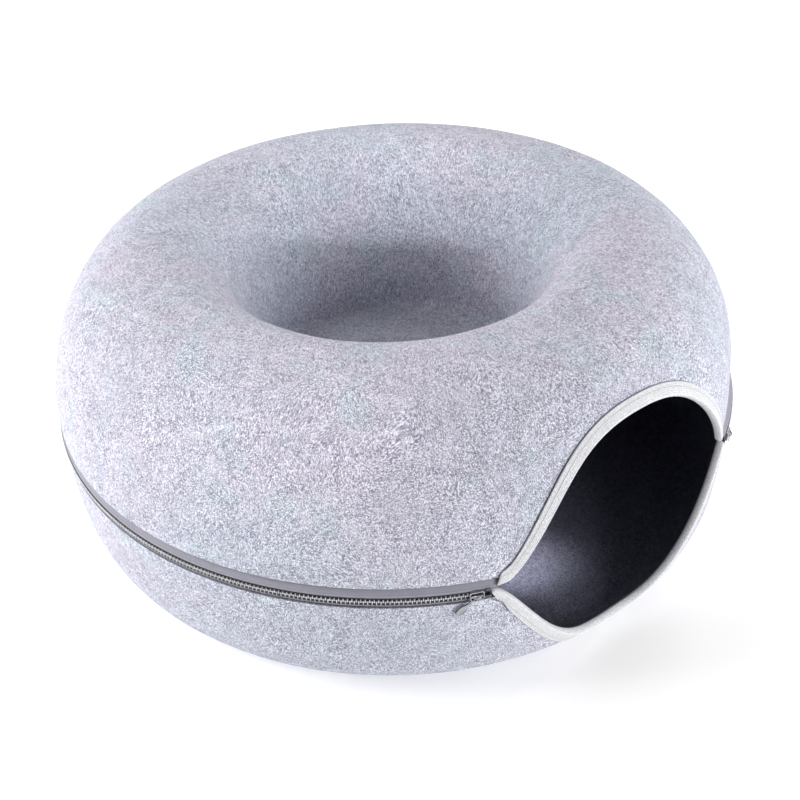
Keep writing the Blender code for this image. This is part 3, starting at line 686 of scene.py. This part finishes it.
def swept_bar(path, across, half_wide, half_thick, closed=False, count=10):
    """A bar of oval section along a path in a plane whose normal is given."""
    steps = np.roll(path, -1, axis=0) - np.roll(path, 1, axis=0)
    if not closed:
        steps[0], steps[-1] = path[1] - path[0], path[-1] - path[-2]
    side = np.cross(unit(steps), across)
    angle = np.linspace(0, 2 * math.pi, count, endpoint=False)
    ring = (half_wide * np.cos(angle)[None, :, None] * np.asarray(across, float)
            + half_thick * np.sin(angle)[None, :, None] * side[:, None])
    points = (path[:, None] + ring).reshape(-1, 3)
    if closed:
        return points, grid_faces(len(path), count, closed=True, round_rows=True)
    return points, tube_faces(len(path), count)


def joined(parts):
    """Several point and face lists as one."""
    points, faces, offset = [], [], 0
    for part_points, part_faces in parts:
        points.append(part_points)
        faces += [tuple(i + offset for i in face) for face in part_faces]
        offset += len(part_points)
    return np.concatenate(points), faces


def squared(wave, power):
    """A sine or cosine pushed towards a square wave, so that an oval gets fuller corners."""
    return np.sign(wave) * np.abs(wave) ** power


def slider_pieces(hand, forward):
    """A zip slider: two rounded plates, an arched crown, and a pull with its eye and leaf."""
    azimuth = SLIDER_AZIMUTHS[hand]
    turn = Matrix.Rotation(azimuth + math.pi, 4, "Z")
    turn.translation = ring_points(RING_RADIUS, azimuth, ZIP_HEIGHT)
    seat = np.array(turn)
    angle = np.linspace(0, 2 * math.pi, OVAL_STEPS, endpoint=False)
    cosine, sine = np.cos(angle), np.sin(angle)
    run = SLIDER_LENGTH / 2 * squared(cosine, 0.5)
    half = (SLIDER_HALF_WIDTH + SLIDER_FLARE * run * forward / (SLIDER_LENGTH / 2)
            - SLIDER_WAIST * np.exp(-(run * forward + MM) ** 2 / (2 * WAIST_SPREAD ** 2)))
    outline = np.column_stack((run, half * squared(sine, 0.4)))
    front_top = GAP + SLIDER_WALL
    foot = front_top + SLIDER_DOME + GAP

    def make(word, points, faces, surface, body, node, painted_shade_mask=None):
        placed = points @ seat[:3, :3].T + seat[:3, 3]
        made = mesh_object(f"{hand}_{word}", placed, faces, MATERIALS[surface], 40)
        if painted_shade_mask is not None:
            point_attribute(made, "painted_shade_mask", painted_shade_mask)
        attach(made, f"{hand}_{body}")
        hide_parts(f"{hand}_{node}")

    points, faces = plate(outline, GAP, front_top, PLATE_BEVEL, PLATE_PANEL)
    sunk = len(points)
    dome = SLIDER_DOME * (1 - (points[:, 2] / SLIDER_HALF_WIDTH) ** 2)
    points[:, 1] += dome * (points[:, 1] > DOMED_PAST)
    spine = np.column_stack((SPINE_HALF_SIZE[0] * squared(cosine, 0.6),
                             SPINE_HALF_SIZE[1] * squared(sine, 0.8)))
    lips = []
    for way in (-1, 1):
        bar = np.column_stack((0.9 * SLIDER_LENGTH / 2 * squared(cosine, 0.3),
                               LIP_HALF_WIDTH * sine + way * (SLIDER_HALF_WIDTH - LIP_INSET)))
        lips.append(plate(bar, -0.5 * MM, GAP + 0.3 * MM, LIP_BEVEL))
    ridge = plate(spine, front_top - PLATE_PANEL[1], foot + 0.1 * MM, SPINE_BEVEL)
    points, faces = joined([(points, faces), ridge, *lips])
    painted_shade_mask = np.zeros((len(points), 3))
    # Painted shade: the floor of the plate's sunk panel is painted near black
    painted_shade_mask[sunk - len(outline): sunk, 0] = 1
    make("slider_front", points, faces, "slider", "slider", "slider_front_plate", painted_shade_mask)
    back = -CHAIN_THICKNESS - GAP
    make("slider_back", *plate(outline, back - SLIDER_WALL, back, BACK_PLATE_BEVEL), "slider",
         "slider", "slider_back_plate")
    under = foot + PULL_THICKNESS + GAP
    bend = np.linspace(math.pi, 0, 25)
    arch = np.column_stack((CROWN_HALF_SPAN * np.cos(bend),
                            foot + (under + CROWN_THICKNESS / 2 - foot) * np.sin(bend) ** 0.5,
                            np.zeros(len(bend))))
    arch = np.vstack(([-CROWN_HALF_SPAN, front_top, 0], arch, [CROWN_HALF_SPAN, front_top, 0]))
    make("slider_bridge", *swept_bar(arch, (0, 0, 1), CROWN_HALF_WIDTH, CROWN_THICKNESS / 2), "pull",
         "slider", "slider_crown")

    flat = Vector((-forward * math.sin(PULL_SWAY), 0, -math.cos(PULL_SWAY)))
    out = Vector((0, 1, 0))
    reach = flat * math.cos(PULL_LEAN) - out * math.sin(PULL_LEAN)
    across = flat.cross(out)
    swing = Matrix((reach, across.cross(reach), across)).transposed()
    pivot = np.array((-forward * PULL_RUN, foot + PULL_THICKNESS / 2, PULL_RISE))
    loop = np.column_stack(((PULL_EYE_LENGTH + PULL_WEB) / 2 * (1 + squared(cosine, 0.5)),
                            np.zeros(len(angle)),
                            (PULL_EYE_WIDTH + PULL_WEB) / 2 * squared(sine, 0.5)))
    eye = swept_bar(loop, (0, 1, 0), PULL_THICKNESS / 2, PULL_WEB / 2, closed=True)
    along = np.linspace(0, 1, 30)
    leaf_start = PULL_EYE_LENGTH + PULL_WEB / 2
    length = leaf_start + along * (PULL_LENGTH - leaf_start)
    wide = NECK_HALF_WIDTH + LEAF_WIDENING * ease((length - NECK_END) / LEAF_WIDENS_OVER)
    tip = np.clip((PULL_LENGTH - length) / LEAF_ROUNDING, 0, 1)
    wide = wide * np.sqrt(tip * (2 - tip))
    wide[-1] = 0.0
    leaf_outline = np.vstack((np.column_stack((length, -wide)), np.column_stack((length, wide))[-2::-1]))
    leaf = plate(leaf_outline, -PULL_THICKNESS / 2, PULL_THICKNESS / 2, LEAF_BEVEL, LEAF_PANEL)
    points, faces = joined([eye, leaf])
    painted_shade_mask = np.zeros((len(points), 3))
    # Painted shade: the floor of the leaf's sunk panel is painted darker
    painted_shade_mask[-len(leaf_outline):, 1] = 1
    placed = points @ np.array(swing).T + pivot
    # Painted shadow along the leaf's edge on one side
    rim = np.tile(leaf_outline[:, 1] * forward < -LEAF_SHADED_PAST, 6)
    painted_shade_mask[len(eye[0]): len(eye[0]) + len(rim), 0] = LEAF_EDGE_SHADE * rim
    make("pull", placed, faces, "pull", "pull", "pull_tab", painted_shade_mask)


# Materials


class Shader:
    """A Principled material and short calls that add nodes to it."""

    def __init__(self, name):
        self.material = bpy.data.materials.new(name)
        self.material.use_nodes = True
        self.tree = self.material.node_tree
        self.out = self.tree.nodes["Principled BSDF"]

    def put(self, kind, inputs=None, **settings):
        node = self.tree.nodes.new(kind)
        for key, value in settings.items():
            setattr(node, key, value)
        for key, value in (inputs or {}).items():
            self.join(node.inputs[key], value)
        return node

    def join(self, socket, value):
        if isinstance(value, bpy.types.NodeSocket):
            self.tree.links.new(value, socket)
        elif isinstance(value, bpy.types.Node):
            self.tree.links.new(value.outputs[0], socket)
        else:
            socket.default_value = value

    def where(self):
        """The place in the part, in metres."""
        return self.put("ShaderNodeTexCoord").outputs["Object"]

    def length(self, vector):
        return self.put("ShaderNodeVectorMath", {0: vector}, operation="LENGTH").outputs["Value"]

    def apart(self, value, level):
        """How far a value is from this level, either way."""
        return self.sum("ABSOLUTE", self.sum("SUBTRACT", value, level))

    def attribute(self, name):
        return self.put("ShaderNodeAttribute", attribute_name=name).outputs["Vector"]

    def vector(self, kind, first, second):
        return self.put("ShaderNodeVectorMath", {0: first, 1: second}, operation=kind).outputs[0]

    def scaled(self, vector, scale):
        return self.vector("MULTIPLY", vector, scale)

    def split(self, vector):
        return self.put("ShaderNodeSeparateXYZ", {0: vector}).outputs

    def noise(self, vector, scale, detail=2.0, roughness=0.5, distortion=0.0):
        return self.put("ShaderNodeTexNoise", {
            "Vector": vector, "Scale": scale, "Detail": detail, "Roughness": roughness,
            "Distortion": distortion}).outputs[0]

    def sum(self, kind, *values):
        return self.put("ShaderNodeMath", dict(enumerate(values)), operation=kind).outputs[0]

    def times(self, first, second):
        return self.sum("MULTIPLY", first, second)

    def span(self, value, low, high, to_low=0.0, to_high=1.0):
        return self.put("ShaderNodeMapRange", {
            "Value": value, "From Min": low, "From Max": high, "To Min": to_low,
            "To Max": to_high}).outputs[0]

    def mix(self, share, first, second, kind="MIX"):
        node = self.put("ShaderNodeMix", data_type="RGBA", blend_type=kind)
        self.join(node.inputs[0], share)
        for socket, value in ((6, first), (7, second)):
            self.join(node.inputs[socket], (*value, 1) if isinstance(value, tuple) else value)
        return node.outputs[2]

    def bump(self, height, distance, strength=1.0, under=None):
        node = self.put("ShaderNodeBump", {"Height": height, "Distance": distance, "Strength": strength})
        if under is not None:
            self.join(node.inputs["Normal"], under)
        return node.outputs[0]

    def finish(self, **sockets):
        for key, value in sockets.items():
            self.join(self.out.inputs[key.replace("_", " ")], value)
        return self.material


def felt_material():
    """Needle felt: pale and dark fibres that lie in drifting directions, felted into a mottled cloth,
    with painted shade on its inner faces, beside its edges and low at the front.
    """
    s = Shader("felt")
    pile = s.attribute("pile")
    place = s.split(s.attribute("place"))
    plain = s.where()
    where = s.put("ShaderNodeMapping", {"Vector": plain, "Rotation": FIBRE_TURN}).outputs[0]
    drift = s.put("ShaderNodeTexNoise", {"Vector": where, "Scale": 14.0, "Detail": 1.0}).outputs["Color"]
    drift = s.scaled(s.vector("SUBTRACT", drift, (0.5, 0.5, 0.5)), (0.05, 0.05, 0.05))
    laid = s.vector("ADD", pile, drift)
    radius = s.length(s.scaled(plain, (1, 1, 0)))
    wide = s.noise(s.scaled(laid, (1800, 1800, 640)), 1.0, 0, 0.5, 0.4)
    narrow = s.noise(s.scaled(laid, (1350, 1350, 250)), 1.0, 1, 0.5, 0.3)
    lie = s.mix(s.span(radius, 0.15, 0.25), narrow, wide)
    grain = s.noise(where, 1450, 0, 0.6, 0.2)
    cross = s.noise(s.scaled(laid, (900, 900, 1200)), 1.0, 0, 0.55, 0.7)
    strand = s.noise(s.scaled(laid, (1150, 1150, 330)), 1.0, 0, 0.5, 0.6)
    broken = s.noise(where, 330, 0, 0.5)
    hairs = s.noise(where, 190, 1, 0.5, 1.6)
    pale_hairs = s.noise(s.scaled(where, (1, 1, -1)), 215, 1, 0.5, 1.4)
    patches = s.noise(where, 75, 3, 0.6)
    clouds = s.noise(where, 16, 2, 0.5)
    tints = s.noise(where, 6, 2, 0.5, 0.4)
    spots = s.noise(s.scaled(where, (-1, 1, 1)), 27, 2, 0.5)
    hue = s.span(tints, 0.38, 0.62)
    teal = s.span(spots, 0.53, 0.66, 0, 0.65)
    base = s.mix(teal, s.mix(hue, FELT_BLUE, FELT_LILAC), FELT_TEAL)
    pale = s.mix(teal, s.mix(hue, FELT_PALE_BLUE, FELT_PALE), FELT_PALE_TEAL)
    base = s.mix(s.span(clouds, 0.3, 0.7, 0.14, 0.0), base, FELT_MOTTLE_AND_SHADE)
    # Painted shade: the felt is darker low down, most at the front right, to offset light bounced from
    # the floor
    spot = s.split(plain)
    low_front_shade = s.times(s.span(spot[2], 0.04, 0.13, 1.0, 0.0), s.span(spot[0], -0.2, 0.05, 0.5, 1.0))
    base = s.mix(low_front_shade, base, FELT_MOTTLE_AND_SHADE)
    base = s.mix(s.span(radius, 0.092, 0.112, 0.55, 0.0), base, FELT_MOSS)
    base = s.mix(s.span(lie, 0.52, 0.59, 0, 0.95), base, pale)
    base = s.mix(s.span(grain, 0.52, 0.58, 0, 0.95), base, pale)
    thick = s.span(patches, 0.38, 0.60, 0.66, 1.0)
    for fibres, low, high, share in ((cross, 0.52, 0.64, 0.28), (lie, 0.48, 0.41, 0.56),
                                     (grain, 0.47, 0.40, 0.68)):
        dark = s.times(s.span(fibres, low, high), thick)
        base = s.mix(s.times(dark, share), base, FELT_DARK)
    thread = s.span(s.apart(strand, 0.5), 0.03, 0.075, 0.72, 0.0)
    base = s.mix(s.times(thread, s.span(broken, 0.47, 0.56)), base, FELT_DARK)
    thread = s.span(s.apart(hairs, 0.5), 0.004, 0.014, 0.45, 0.0)
    base = s.mix(s.times(thread, s.span(patches, 0.48, 0.60)), base, FELT_DARK)
    base = s.mix(s.span(s.apart(pale_hairs, 0.5), 0.004, 0.012, 0.35, 0.0), base, FELT_PALE)
    # Painted shadow: the felt darkens beside the binding's far edge and along its own cut edge
    base = s.mix(s.span(place[1], 0.02, 0.14, 0.75, 0.0), base, EDGE_SHADOW)
    base = s.mix(s.span(place[2], 0.0, 0.07, 0.7, 0.0), base, EDGE_SHADOW)
    # Painted shade: the inner faces are darkened to stand in for the little light that reaches inside
    base = s.mix(place[0], base, FELT_INNER_SHADE, "MULTIPLY")
    height = s.sum("ADD", s.times(grain, 0.7), s.times(lie, 0.9))
    normal = s.bump(s.sum("ADD", height, s.times(cross, -0.4)), 0.6 * MM, 0.8)
    normal = s.bump(patches, 1.0 * MM, 0.35, normal)
    return s.finish(Base_Color=base, Roughness=0.95, Normal=normal, Specular_IOR_Level=0.15,
                    Sheen_Weight=0.2, Sheen_Roughness=0.6, Sheen_Tint=(0.9, 0.92, 1.0, 1))


def binding_material():
    """Ribbed woven tape: fine cords along it, crossed by a slanting weft."""
    s = Shader("binding_tape")
    weave = s.split(s.attribute("weave"))
    where = s.where()
    slant = s.sum("ADD", weave[0], s.times(weave[1], 0.7))
    weft = s.sum("SINE", s.times(slant, 2 * math.pi / (1.9 * MM)))
    cord = s.sum("SINE", s.times(weave[1], 2 * math.pi * BINDING_RIBS / BINDING_WIDTH))
    fibre = s.noise(where, 1250, 2, 0.6)
    soil = s.noise(where, 60, 3, 0.5)
    base = s.mix(s.span(cord, -0.9, 0.5), (0.57, 0.575, 0.60), (0.74, 0.745, 0.77))
    base = s.mix(s.span(weft, -1, 0.2, 0.25, 0.0), base, (0.48, 0.485, 0.52))
    base = s.mix(s.span(fibre, 0.50, 0.60, 0, 0.55), base, (0.40, 0.405, 0.43))
    base = s.mix(s.span(fibre, 0.48, 0.38, 0, 0.6), base, (0.94, 0.94, 0.96))
    seam = s.apart(weave[1], BINDING_SEAM * BINDING_WIDTH)
    base = s.mix(s.span(seam, 0.3 * MM, 0.7 * MM, 0.45, 0.0), base, (0.30, 0.30, 0.33))
    base = s.mix(s.span(soil, 0.35, 0.7, 0, 0.18), base, (0.60, 0.61, 0.66))
    height = s.sum("ADD", s.times(weft, 0.35), s.times(fibre, 0.9))
    normal = s.bump(height, 0.16 * MM, 0.8)
    return s.finish(Base_Color=base, Roughness=0.82, Normal=normal, Specular_IOR_Level=0.25,
                    Sheen_Weight=0.2, Sheen_Roughness=0.5)


def tape_material():
    """Woven zip tape: a herringbone twill with a faint dark line, and painted shade where it goes behind
    the felt and beside the teeth.
    """
    s = Shader("zip_tape")
    weave = s.split(s.attribute("weave"))
    where = s.where()
    zig = s.sum("PINGPONG", weave[1], 1.6 * MM)
    twill = s.sum("SINE", s.times(s.sum("ADD", weave[0], zig), 2 * math.pi / (1.3 * MM)))
    fibre = s.noise(where, 1100, 3, 0.6)
    patch = s.noise(where, 60, 2, 0.5)
    base = s.mix(s.span(twill, -1, 1, 0, 1), (0.27, 0.265, 0.325), (0.43, 0.42, 0.50))
    base = s.mix(s.span(fibre, 0.4, 0.7, 0, 0.4), base, (0.52, 0.52, 0.56))
    base = s.mix(s.span(patch, 0.3, 0.7, 0, 0.25), base, (0.26, 0.265, 0.30))
    # A faint darker line along the tape
    line = s.apart(weave[1], TAPE_DARK_LINE)
    base = s.mix(s.span(line, 0.25 * MM, 0.7 * MM, 0.2, 0.0), base, (0.10, 0.10, 0.12))
    # Painted shade: the tape goes near black where it runs behind the felt's edge, more on the upper half
    behind = s.span(weave[1], 6.2 * MM, 8.4 * MM, 0.0, 0.85)
    behind = s.times(behind, s.span(weave[2], -1, 1, 0.3, 1))
    base = s.mix(behind, base, (0.04, 0.04, 0.05))
    # Painted shade: the tape's edge beside the teeth is darkened to near black
    teeth_edge_shade = s.span(weave[1], 0.0, 1.4 * MM, 0.8, 0.0)
    base = s.mix(teeth_edge_shade, base, (0.06, 0.06, 0.07))
    normal = s.bump(s.sum("ADD", twill, s.times(fibre, 1.2)), 0.1 * MM, 0.7)
    return s.finish(Base_Color=base, Roughness=0.85, Normal=normal, Specular_IOR_Level=0.2,
                    Sheen_Weight=0.15, Sheen_Roughness=0.5)


def teeth_material():
    """Moulded metal teeth, worn on their heads, with painted shade at their roots and in the chain's
    depth.
    """
    s = Shader("zip_teeth")
    where = s.where()
    wear = s.noise(where, 900, 3, 0.6)
    tone = s.noise(where, 120, 2, 0.5)
    base = s.mix(s.span(wear, 0.35, 0.7), (0.50, 0.50, 0.52), (0.78, 0.78, 0.80))
    base = s.mix(s.span(tone, 0.3, 0.7, 0, 0.5), base, (0.50, 0.50, 0.53))
    # Painted shade: the teeth darken towards their roots, standing in for the shadow between them
    rise = s.apart(s.split(where)[2], ZIP_HEIGHT)
    base = s.mix(s.span(rise, 1.8 * MM, 2.9 * MM, 0, 0.8), base, (0.03, 0.03, 0.035))
    # Painted shade: the teeth's back half and the cord behind them go near black
    radius = s.length(s.scaled(where, (1, 1, 0)))
    deep = s.span(radius, CHAIN_RADIUS + 0.1 * MM, CHAIN_RADIUS + 0.8 * MM, 0.92, 0)
    base = s.mix(deep, base, (0.02, 0.02, 0.025))
    return s.finish(Base_Color=base, Roughness=s.span(wear, 0.3, 0.7, 0.22, 0.42), Metallic=0.6,
                    Normal=s.bump(wear, 0.06 * MM, 0.5))


def thread_material():
    """Twisted sewing thread, darker between its plies."""
    s = Shader("pale_thread")
    ply = s.noise(s.where(), 2600, 2, 0.6, 0.8)
    base = s.mix(s.span(ply, 0.35, 0.65), tuple(c * 0.7 for c in THREAD), THREAD)
    return s.finish(Base_Color=base, Roughness=0.7, Normal=s.bump(ply, 0.08 * MM, 0.8),
                    Sheen_Weight=0.2)


def metal_material(name, colour, shade, roughness):
    """Die cast or stamped metal, brighter where it rubs, with painted shade in its recesses and along one
    edge of the pull's leaf.
    """
    s = Shader(name)
    where = s.where()
    scuff = s.noise(s.scaled(where, (1, 1, 4)), 700, 4, 0.65)
    cloud = s.noise(where, 160, 3, 0.5)
    base = s.mix(s.span(cloud, 0.35, 0.65), colour, shade)
    base = s.mix(s.span(scuff, 0.60, 0.78, 0, 0.6), base, tuple(min(1.0, c * 1.5) for c in colour))
    painted_shade_mask = s.split(s.attribute("painted_shade_mask"))
    # Painted shade from the mask: near black in the slider's panel and along one edge of the leaf, darker
    # in the leaf's panel
    base = s.mix(s.span(painted_shade_mask[0], 0.1, 0.8, 0, 0.92), base, (0.015, 0.015, 0.02))
    base = s.mix(s.span(painted_shade_mask[1], 0.1, 0.8, 0, 0.45), base, shade)
    rough = s.span(scuff, 0.3, 0.7, roughness * 0.7, roughness * 1.5)
    return s.finish(Base_Color=base, Roughness=rough, Metallic=1.0, Normal=s.bump(scuff, 0.05 * MM, 0.4))


MATERIALS = {
    "felt": felt_material(),
    "binding": binding_material(),
    "tape": tape_material(),
    "teeth": teeth_material(),
    "thread": thread_material(),
    "slider": metal_material("slider_metal", (0.50, 0.51, 0.53), (0.30, 0.305, 0.32), 0.3),
    "stop": metal_material("end_stop_metal", (0.16, 0.16, 0.17), (0.09, 0.09, 0.10), 0.4),
    "pull": metal_material("pull_metal", (0.50, 0.50, 0.53), (0.30, 0.30, 0.33), 0.16),
}

# The object

for side, meridian, word in ((UP, UPPER, "upper"), (DOWN, LOWER, "lower")):
    felt_piece(word, meridian)
    binding_piece(word, meridian)
    tape_piece(word, meridian)
    teeth_piece(word, side)
    azimuths = entrance_azimuths(STITCH_STEPS, side)[SEAM_END:-SEAM_END]
    if side == UP:
        azimuths = azimuths[azimuths > ENTRANCE_START + (BINDING_TRIM + 4 * MM) / RING_RADIUS]
    edge, _, reach = bound_runs(meridian, azimuths)
    for label, out, facing, across in (
            ("outer", GAP + BINDING_THICKNESS + THREAD_LIFT, 1, BINDING_SEAM),
            ("inner", -FELT - GAP - BINDING_THICKNESS - THREAD_LIFT, -1, BINDING_INNER_SEAM)):
        seam = edge + (reach - edge) * across
        place = meridian.at(seam, np.full(len(seam), out))
        above = meridian.at(seam, np.full(len(seam), out + facing * MM))
        drawn = tuck(azimuths, place[:, 1]) if side == UP else 0.0
        path = ring_points(place[:, 0] - drawn, azimuths, place[:, 1])
        normal = ring_points(above[:, 0] - drawn, azimuths, above[:, 1]) - path
        stitch_row(word, label, path, normal)

for hand, forward in (("left", -1), ("right", 1)):
    slider_pieces(hand, forward)
    for word in ("upper", "lower"):
        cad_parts[word + "_" + hand + "_end_stop"].data.materials[0] = MATERIALS["stop"]

# Floor, light and camera


def floor_material():
    """Plain pale paper that glows more with distance, so that it meets the white surround."""
    s = Shader("floor")
    where = s.where()
    tone = s.noise(where, 3, 2, 0.5)
    glow = s.mix(s.span(s.length(where), 1.1, 2.8), (0.31, 0.31, 0.31), (1, 1, 1))
    return s.finish(Base_Color=s.mix(s.span(tone, 0.3, 0.7), (0.93, 0.93, 0.93), (0.95, 0.95, 0.95)),
                    Roughness=0.6, Emission_Color=glow, Emission_Strength=0.9)


floor = bpy.data.meshes.new("floor")
corners = ((-1, -1), (1, -1), (1, 1), (-1, 1))
floor.from_pydata([(x * FLOOR_HALF, y * FLOOR_HALF, -GAP) for x, y in corners], [], [(0, 1, 2, 3)])
floor.materials.append(floor_material())
ground = linked("floor", floor)


def aimed_light(kind, name, place, target, watts):
    light = linked(name, bpy.data.lights.new(name, kind))
    light.data.energy = watts
    light.location = place
    light.rotation_euler = (Vector(target) - Vector(place)).to_track_quat("-Z", "Y").to_euler()
    return light


def softbox(name, azimuth, elevation, watts):
    """A square soft light that faces the object, its azimuth counted from the front towards the right."""
    azimuth, elevation = math.radians(azimuth), math.radians(elevation)
    flat = LIGHT_DISTANCE * math.cos(elevation)
    place = (flat * math.sin(azimuth), -flat * math.cos(azimuth), LIGHT_DISTANCE * math.sin(elevation))
    light = aimed_light("AREA", name, place, (0, 0, LIGHT_AIM_HEIGHT), watts)
    light.data.shape, light.data.size = "SQUARE", SOFTBOX_SIDE


def beam(name, place, target, half_angle, watts, size):
    """A soft edged spot."""
    light = aimed_light("SPOT", name, place, target, watts)
    light.data.spot_size, light.data.spot_blend = 2 * math.radians(half_angle), 1.0
    light.data.shadow_soft_size = size
    light.visible_camera = False


def studio_world():
    """A faint even surround for the light, and white paper behind the floor's far edge."""
    world = bpy.data.worlds.new("studio")
    world.use_nodes = True
    tree = world.node_tree
    surround = tree.nodes["Background"]
    surround.inputs["Strength"].default_value = SURROUND
    paper = tree.nodes.new("ShaderNodeBackground")
    for shade in (surround, paper):
        shade.inputs["Color"].default_value = (1, 1, 1, 1)
    seen = tree.nodes.new("ShaderNodeLightPath")
    blend = tree.nodes.new("ShaderNodeMixShader")
    tree.links.new(seen.outputs["Is Camera Ray"], blend.inputs[0])
    tree.links.new(surround.outputs[0], blend.inputs[1])
    tree.links.new(paper.outputs[0], blend.inputs[2])
    tree.links.new(blend.outputs[0], tree.nodes["World Output"].inputs[0])
    bpy.context.scene.world = world


studio_world()
for word, azimuth, elevation, watts in SOFTBOXES:
    softbox(word + "_softbox", azimuth, elevation, watts)
beam("well_spot", (-0.393, -2.15, 0.813), (-0.03, 0.150, 0.202), 2.7, 200, 0.13)
beam("tunnel_spot", (0.058, -0.166, 0.09), (0.100, -0.160, 0.004), 26, 0.78, 0.01)
bpy.context.scene.view_settings.view_transform = "Standard"


def make_camera():
    data = bpy.data.cameras.new("camera")
    data.sensor_width = 36
    data.lens = CAMERA_FOCAL_PX / PHOTO_SIDE * data.sensor_width
    data.shift_x = -CAMERA_OFFSET_PX[0] / PHOTO_SIDE
    data.shift_y = CAMERA_OFFSET_PX[1] / PHOTO_SIDE
    data.clip_start, data.clip_end = 0.05, 50
    camera = linked("camera", data)
    back = Vector((0, -math.cos(CAMERA_ELEVATION), math.sin(CAMERA_ELEVATION)))
    right = Vector((1, 0, 0))
    up = back.cross(right)
    right, up = (math.cos(CAMERA_ROLL) * right - math.sin(CAMERA_ROLL) * up,
                 math.sin(CAMERA_ROLL) * right + math.cos(CAMERA_ROLL) * up)
    turn = Matrix((right, up, back)).transposed().to_4x4()
    turn.translation = back * CAMERA_DISTANCE
    camera.matrix_world = turn
    bpy.context.scene.camera = camera


make_camera()
